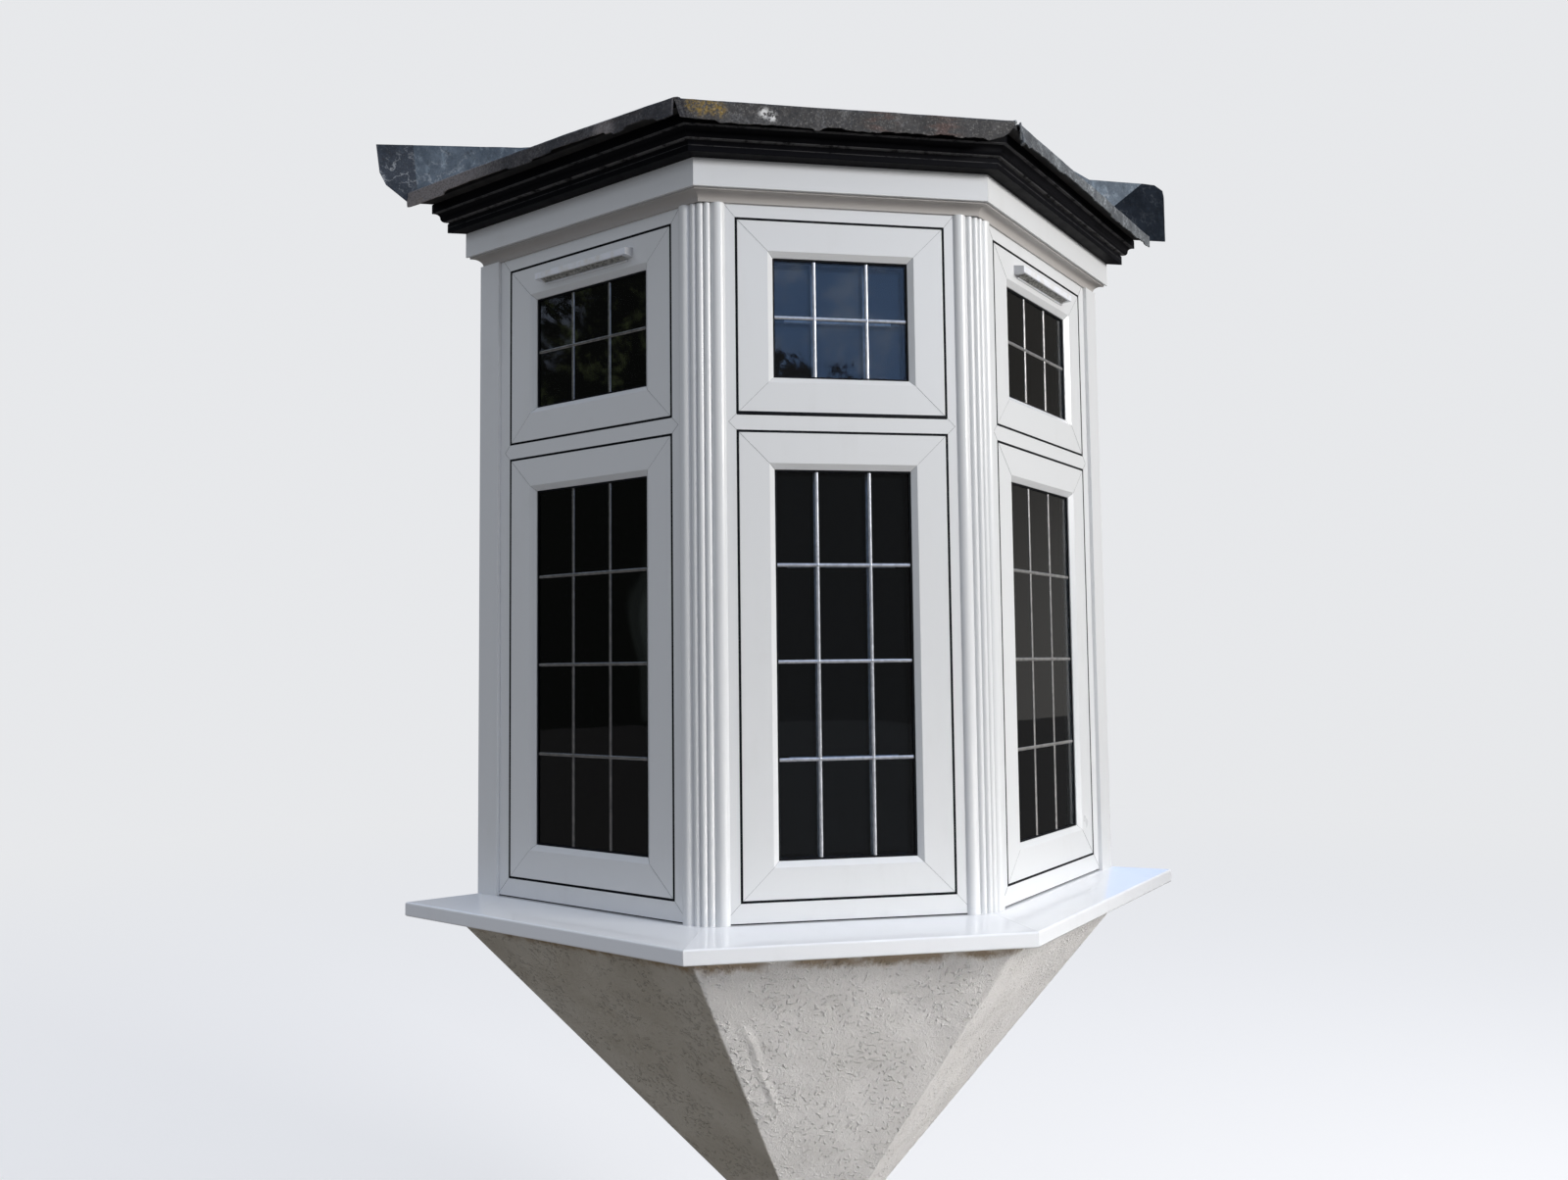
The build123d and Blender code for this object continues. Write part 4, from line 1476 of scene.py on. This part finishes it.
@dataclass
class RenderedCorbel:
    """The half-pyramid under the sill, with lumpy render and softened arrises."""

    material: Material
    reach: float = 475 * MM
    front_half: float = 299 * MM
    wall_half: float = 745.5 * MM
    drop: float = 768 * MM
    tip: float = 40 * MM
    cuts: int = 150
    ridge: Outline = ((-0.199, -0.145), (-0.172, -0.190), (-0.160, -0.240), (-0.112, -0.347))
    ridge_width: float = 9 * MM
    ridge_rise: float = 2.4 * MM

    def block(self) -> Piece:
        """Model the plain half-pyramid, cut off at its tip.

        Returns:
            The half-pyramid.
        """
        bpy.ops.mesh.primitive_plane_add(size=1, location=(0, -self.reach / 2, 0))
        piece = sized((2 * self.wall_half, self.reach, 1))
        share = self.tip / self.drop
        narrow = self.front_half / self.wall_half
        foot = self.tip - self.drop
        with editing(piece):
            pick_edges(piece, lambda end: end.y < -self.reach / 2)
            bpy.ops.transform.resize(value=(narrow, 1, 1), center_override=(0, -self.reach, 0))
            bpy.ops.mesh.select_all(action="SELECT")
            bpy.ops.mesh.extrude_region_move(TRANSFORM_OT_translate={"value": (0, 0, foot)})
            bpy.ops.transform.resize(value=(share, share, 1), center_override=(0, 0, foot))
        close_outward(piece)
        return piece

    def on_ridge(self, co: Vector) -> float:
        """Weigh a point by how near it lies to the trowel ridge on the front facet.

        Args:
            co: the point.

        Returns:
            Its weight, from 0 away from the ridge to 1 on it.
        """
        if co.y >= -self.reach * (1 + co.z / self.drop) + 12 * MM:
            return 0.0
        best = 1.0
        place = Vector((co.x, co.z))
        for start, end in zip(self.ridge, self.ridge[1:]):
            a, run = Vector(start), Vector(end) - Vector(start)
            share = max(0.0, min(1.0, (place - a).dot(run) / run.length_squared))
            best = min(best, (place - a - run * share).length / self.ridge_width)
        return 1 - best

    def off_edges(self, co: Vector) -> float:
        """Weigh a point by how far it lies from the wall, the sill and the tip."""
        return min(-co.y / (6 * MM), -co.z / (3 * MM), (co.z + self.drop - self.tip) / (12 * MM))

    def make(self) -> None:
        """Render the corbel."""
        piece = self.block()
        with editing(piece):
            pick_faces(piece, lambda centre, normal: normal.y < -0.05 and abs(normal.z) < 0.95)
            bpy.ops.mesh.subdivide(number_cuts=self.cuts)
        group_points(piece, "render", self.off_edges)
        group_points(piece, "ridge", self.on_ridge)
        modify(piece, "SMOOTH", factor=0.5, iterations=1, vertex_group="render")
        displace(piece, "render_waves", 0.2, 7 * MM, "render", depth=1)
        displace(piece, "render_lumps", 0.04, 2.8 * MM, "render", depth=1)
        shift(piece, self.ridge_rise, "ridge", "NORMAL")
        smooth(piece, 70)
        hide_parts("corbel")
        add_piece(piece, "rendered_corbel", self.material)


@dataclass(frozen=True)
class Studio:
    """The pale floor, the soft lamps and the camera at the photograph's place."""

    floor_drop: float = 1.1
    floor_colour: Colour = (0.66, 0.66, 0.665)
    floor_glow: Colour = (0.42, 0.42, 0.425)
    floor_bounce: Colour = (0.28, 0.265, 0.245)
    floor_near: float = 2.5
    floor_far: float = 11.0
    backdrop: Colour = (0.80, 0.81, 0.83)
    high_light: Colour = (0.54, 0.57, 0.63)
    low_light: Colour = (0.20, 0.21, 0.225)
    horizon: Colour = (0.09, 0.088, 0.086)
    sky_colour: Colour = (0.44, 0.68, 1.18)
    cloud: Colour = (0.82, 1.02, 1.42)
    left_side: Colour = (0.05, 0.055, 0.05)
    foliage: Colour = (0.36, 0.44, 0.22)
    sky_chink: Colour = (0.70, 0.82, 1.05)
    right_low: Colour = (0.44, 0.43, 0.415)
    right_high: Colour = (0.17, 0.165, 0.155)
    warm: Colour = (1.0, 0.98, 0.95)
    cool: Colour = (0.84, 0.94, 1.10)
    key_place: Point = (3.5, -3.5, 2.35)
    key_power: float = 171
    key_size: float = 1.25
    fill_place: Point = (-3.6, -3.4, 1.6)
    fill_power: float = 7
    fill_size: float = 3.0
    lamp_aim: Point = (0, -0.25, 0.6)
    low_place: Point = (2.5, -2.6, -0.45)
    low_aim: Point = (0, -0.3, -0.42)
    low_power: float = 1.9
    low_size: float = 1.0
    low_spread: float = math.radians(34)
    eye: Point = (-0.46797, -2.53265, 0.50529)
    yaw: float = -0.164644
    pitch: float = 0.063340
    roll: float = -0.011707
    focal_px: float = 1196.588
    image_width: float = 1600.0
    sensor: float = 36.0

    def camera(self) -> None:
        """Place the camera."""
        data = bpy.data.cameras.new("camera")
        data.sensor_width = self.sensor
        data.sensor_fit = "HORIZONTAL"
        data.lens = self.focal_px / self.image_width * self.sensor
        data.clip_end = 200
        eye = bpy.data.objects.new("camera", data)
        bpy.context.collection.objects.link(eye)
        turn = Matrix.Rotation(-self.yaw, 3, "Z")
        tilt = Matrix.Rotation(-self.pitch, 3, "X")
        bank = Matrix.Rotation(self.roll, 3, "Y")
        right, forward, up = (Vector(row) for row in bank @ tilt @ turn)
        pose = Matrix((right, up, -forward)).transposed().to_4x4()
        pose.translation = Vector(self.eye)
        eye.matrix_world = pose
        bpy.context.scene.camera = eye

    def lamp(
        self, name: str, place: Point, power: float, size: float, colour: Colour, aim: Point
    ) -> bpy.types.Light:
        """Hang a soft square lamp.

        Args:
            name: its name.
            place: where it hangs.
            power: its power, in watts.
            size: its side, in metres.
            colour: its colour.
            aim: the point that it faces.

        Returns:
            The lamp's light.
        """
        data = bpy.data.lights.new(name, "AREA")
        data.energy = power
        data.size = size
        data.color = colour
        lamp = bpy.data.objects.new(name, data)
        bpy.context.collection.objects.link(lamp)
        lamp.location = place
        lamp.rotation_euler = (Vector(aim) - Vector(place)).to_track_quat("-Z", "Y").to_euler()
        return data

    def sky(self) -> None:
        """Light the world softly, with a sky, treetops and a pale side that show only in reflections."""
        world = bpy.data.worlds.new("studio")
        bpy.context.scene.world = world
        world.use_nodes = True
        sky = Nodes(world.node_tree, "Generated")
        x, y, z = (sky.axis(name) for name in "XYZ")
        clouded = sky.over(self.sky_colour, self.cloud, sky.patches(0.47, 0.68, 26, 5, 0.65))
        treeline = sky.plus(sky.plus(z, x, 0.35), sky.noise(60, 5, 0.8), 0.14)
        mirrored = sky.over(self.horizon, clouded, sky.step(treeline, 0.375, 0.392))
        leaves = sky.over(self.left_side, self.foliage, sky.patches(0.50, 0.70, 46, 5, 0.75))
        gaps = sky.patches(0.50, 0.60, 75, 5, 0.8)
        leaves = sky.over(leaves, self.sky_chink, gaps, sky.step(sky.plus(z, y, 1.6), 0.285, 0.335))
        left_side = sky.over(self.left_side, leaves, sky.step(z, 0.14, 0.24))
        mirrored = sky.over(mirrored, left_side, sky.step(x, -0.35, -0.8))
        right_side = sky.over(self.right_low, self.right_high, sky.step(z, 0.02, 0.24))
        mirrored = sky.over(mirrored, right_side, sky.step(x, 0.45, 0.85))
        soft = sky.over(self.low_light, self.high_light, sky.step(z, -0.3, 0.8))
        path = sky.node("LightPath").outputs
        light = sky.over(soft, mirrored, path["Is Glossy Ray"])
        light = sky.over(light, self.backdrop, path["Is Camera Ray"])
        sky.feed(world.node_tree.nodes["Background"].inputs["Color"], light)

    def ground(self) -> None:
        """Lay the floor: pale to the eye, one with the far backdrop, and darker where it lights the bay."""
        bpy.ops.mesh.primitive_plane_add(size=60, location=(0, 0, -self.floor_drop))
        floor = bpy.context.object
        floor.name = "studio_floor"
        settle(floor)
        sheet = Sheet("studio_floor")
        seen = sheet.node("LightPath").outputs["Is Camera Ray"]
        near = sheet.around((0, 0, -self.floor_drop), self.floor_far, self.floor_far - self.floor_near)
        floor.data.materials.append(sheet.shade(
            Base_Color=sheet.over(self.floor_bounce, sheet.over((0, 0, 0), self.floor_colour, near), seen),
            Emission_Color=sheet.over(self.backdrop, self.floor_glow, near),
            Emission_Strength=seen,
            Roughness=1.0,
            Specular_IOR_Level=0.0,
        ))

    def make(self) -> None:
        """Set the stage."""
        bpy.context.scene.view_settings.view_transform = "Standard"
        self.camera()
        self.sky()
        self.ground()
        self.lamp("key", self.key_place, self.key_power, self.key_size, self.warm, self.lamp_aim)
        self.lamp("fill", self.fill_place, self.fill_power, self.fill_size, self.cool, self.lamp_aim)
        low = self.lamp("low", self.low_place, self.low_power, self.low_size, self.warm, self.low_aim)
        low.spread = self.low_spread


def lead_finishes() -> dict[Face, Material]:
    """Make the finishes of the three slopes.

    Returns:
        Each slope's material.
    """
    rust = Stain(
        (0.13, 0.066, 0.048), 0.036, 70,
        ((0.045, -0.525, 1.488), (0.065, -0.525, 1.480), (0.160, -0.525, 1.484), (0.185, -0.525, 1.478)),
        0.5, (0.3, 1, 1.3),
    )
    lichen = Stain(
        (0.30, 0.19, 0.03), 0.020, 150,
        (
            (-0.290, -0.525, 1.492), (-0.272, -0.525, 1.486), (-0.262, -0.525, 1.495),
            (-0.246, -0.525, 1.489), (-0.240, -0.525, 1.484),
        ),
        0.9,
    )
    soot = Stain((0.012, 0.008, 0.008), 0.022, 170, ((-0.309, -0.525, 1.488), (-0.304, -0.525, 1.474)))
    lime = Stain((0.85, 0.84, 0.82), 0.015, 130, ((-0.160, -0.525, 1.486), (-0.146, -0.525, 1.480)))
    left_lime = Stain((0.52, 0.40, 0.29), 0.015, 130, ((-0.812, -0.026, 1.487), (-0.822, -0.016, 1.480)))
    front = LeadSheet(
        "lead_front", (0.038, 0.034, 0.030), (0.066, 0.060, 0.055), (0.155, 0.150, 0.145),
        bloom_share=0.25, veins=0.10, speckle=0.55, under=(rust, lichen), upper=(soot, lime),
    )
    left = LeadSheet(
        "lead_left", (0.042, 0.039, 0.042), (0.078, 0.070, 0.071), (0.18, 0.165, 0.165),
        bloom_share=0.3, veins=0.05, speckle=0.5, upper=(left_lime,),
        washed=(((-0.84, 0.0, 1.49), 0.34), ((-0.437, -0.401, 1.488), 0.036)),
    )
    right = LeadSheet(
        "lead_right", (0.085, 0.092, 0.10), (0.145, 0.16, 0.172), (0.34, 0.36, 0.37),
        bloom_share=0.45, veins=0.55, speckle=0.6,
    )
    return {Face.LEFT: left.make(), Face.FRONT: front.make(), Face.RIGHT: right.make()}


def flashing() -> WallFlashing:
    """Make the wall flashing with its finishes: a darker tail at the left end, and at the right end a
    near-black sheet that is painted shadow.

    Returns:
        The flashing, not yet built.
    """
    sheet = LeadSheet(
        "lead_flashing", (0.064, 0.086, 0.112), (0.125, 0.16, 0.20), (0.29, 0.36, 0.42),
        bloom_share=0.5, veins=0.35, speckle=0.2,
    )
    tail = LeadSheet(
        "lead_tail", (0.022, 0.028, 0.038), (0.048, 0.058, 0.075), (0.15, 0.18, 0.22),
        bloom_share=0.35, veins=0.5, speckle=0.3,
    )
    # Painted shadow on the right end of the flashing.
    dark = LeadSheet(
        "lead_dark", (0.006, 0.009, 0.014), (0.014, 0.019, 0.028), (0.035, 0.046, 0.064),
        bloom_share=0.3, veins=0.05, speckle=0.02, metallic=0.0, shine=0.04,
    )
    return WallFlashing(sheet.make(), {"left_tail": tail.make(), "right_tail": dark.make()})


def cames() -> dict[Face, Material]:
    """Make the finishes of the three windows' lead bars, one lead toned by painted light: darkest on the
    left, palest on the front.

    Returns:
        Each window's material.
    """
    shaded_left = Plain("came_painted_shade", (0.36, 0.345, 0.34), (0.20, 0.195, 0.195), 0.24, 0.8, scale=90)
    lit_front = Plain("came_painted_light", (0.60, 0.615, 0.65), (0.42, 0.43, 0.46), 0.34, 0.55, scale=90)
    soft = Plain("came_painted_half_light", (0.44, 0.43, 0.42), (0.28, 0.275, 0.27), 0.32, 0.6, scale=90)
    return {Face.LEFT: shaded_left.make(), Face.FRONT: lit_front.make(), Face.RIGHT: soft.make()}


class BayWindow:
    """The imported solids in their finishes, with every fitting added to them."""

    def __init__(self, frame: dict) -> None:
        """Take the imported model.
        """
        self.nodes: dict[str, Piece] = frame["nodes"]
        self.vent = VentPlastic().make()

    def dress(self, material: Material, *prefixes: str) -> None:
        """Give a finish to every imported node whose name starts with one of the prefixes.

        Args:
            material: the finish.
            prefixes: the starts of the nodes' names.
        """
        for name, node in self.nodes.items():
            if name.startswith(prefixes):
                if not node.material_slots:
                    node.data.materials.append(material)
                for holder in node.material_slots:
                    holder.material = material

    def dress_nodes(self) -> None:
        """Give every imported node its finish."""
        # Painted light: the sill's white is paler and bluer than the frames', for the sky light on its top.
        gloss = WhiteProfile("sill_gloss_painted_light", (0.91, 0.925, 0.955), dust_share=0.25, roughness=0.13, coat=0.4)
        timber = Plain(
            "softwood", (0.50, 0.36, 0.21), (0.36, 0.24, 0.13), 0.7,
            scale=22, stretch=(0.25, 3, 3), bump=0.4 * MM,
        )
        # Painted shade: the roof deck's edge and underside are near-black for the shade under the lead's
        # drip.
        deck_painted_shade = Plain("timber_painted_shade", (0.012, 0.012, 0.013), (0.03, 0.028, 0.027), 0.8, scale=30)
        plaster = Plain("plaster", (0.74, 0.735, 0.72), (0.68, 0.675, 0.66), 0.85)
        aluminium = Plain("mill_aluminium", (0.62, 0.63, 0.64), (0.5, 0.51, 0.52), 0.35, 1.0)
        self.dress(
            WhiteProfile().make(),
            "frame_", "sash_", "post_cover", "wall_trim", "inner_covers", "glazing_beads", "fascia",
        )
        # Painted shade: the soffit is the same white profile, darkened and warmed for the shade under the
        # fascia.
        self.dress(WhiteProfile("soffit_painted_shade", (0.47, 0.445, 0.425), roughness=0.4).make(), "soffit")
        self.dress(WhiteProfile("handle_coat", (0.76, 0.77, 0.78), roughness=0.33).make(), "window_handles")
        self.dress(gloss.make(), "sill_", "window_board")
        self.dress(BlackPaint().make(), "cornice")
        self.dress(timber.make(), "roof_core", "base_board")
        self.dress(deck_painted_shade.make(), "roof_deck")
        self.dress(plaster.make(), "ceiling_board")
        self.dress(aluminium.make(), "bay_poles")
        self.dress(self.vent, "trickle_vents")
        for face in Face:
            self.dress(RoomGlass(face).make(), f"glass_{face.label}")

    def make(self) -> None:
        """Dress the whole bay."""
        self.dress_nodes()
        rubber = Plain("black_rubber", (0.004, 0.0045, 0.006), (0.009, 0.0095, 0.011), 0.65, shine=0.12)
        spacer = Plain("spacer_bar", (0.055, 0.055, 0.055), (0.035, 0.035, 0.036), 0.4)
        weld = Plain("weld_line", (0.13, 0.135, 0.14), (0.26, 0.265, 0.27), 0.6, scale=40)
        mesh = Plain("vent_mesh", (0.64, 0.63, 0.60), (0.17, 0.17, 0.16), 0.7, scale=150, shine=0.2)
        lights = LeadedLights(cames())
        seals = Seals(rubber.make(), spacer.make())
        welds = WeldLines(weld.make())
        for face in Face:
            lights.make(face)
            seals.make(face)
            welds.make(face)
        grilles = VentGrilles(mesh.make(), self.vent)
        for face in (Face.LEFT, Face.RIGHT):
            grilles.make(face)
        roof = LeadRoof(lead_finishes())
        for face in Face:
            roof.make(face)
        for face in (Face.LEFT, Face.RIGHT):
            roof.hip(face)
        roof.roll()
        flashing().make()
        RenderedCorbel(TrowelledRender().make()).make()


def main() -> None:
    """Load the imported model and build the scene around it."""
    logging.basicConfig(level=logging.INFO)
    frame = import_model()
    deselect_all()
    Studio().make()
    BayWindow(frame).make()


if __name__ == "__main__":
    main()
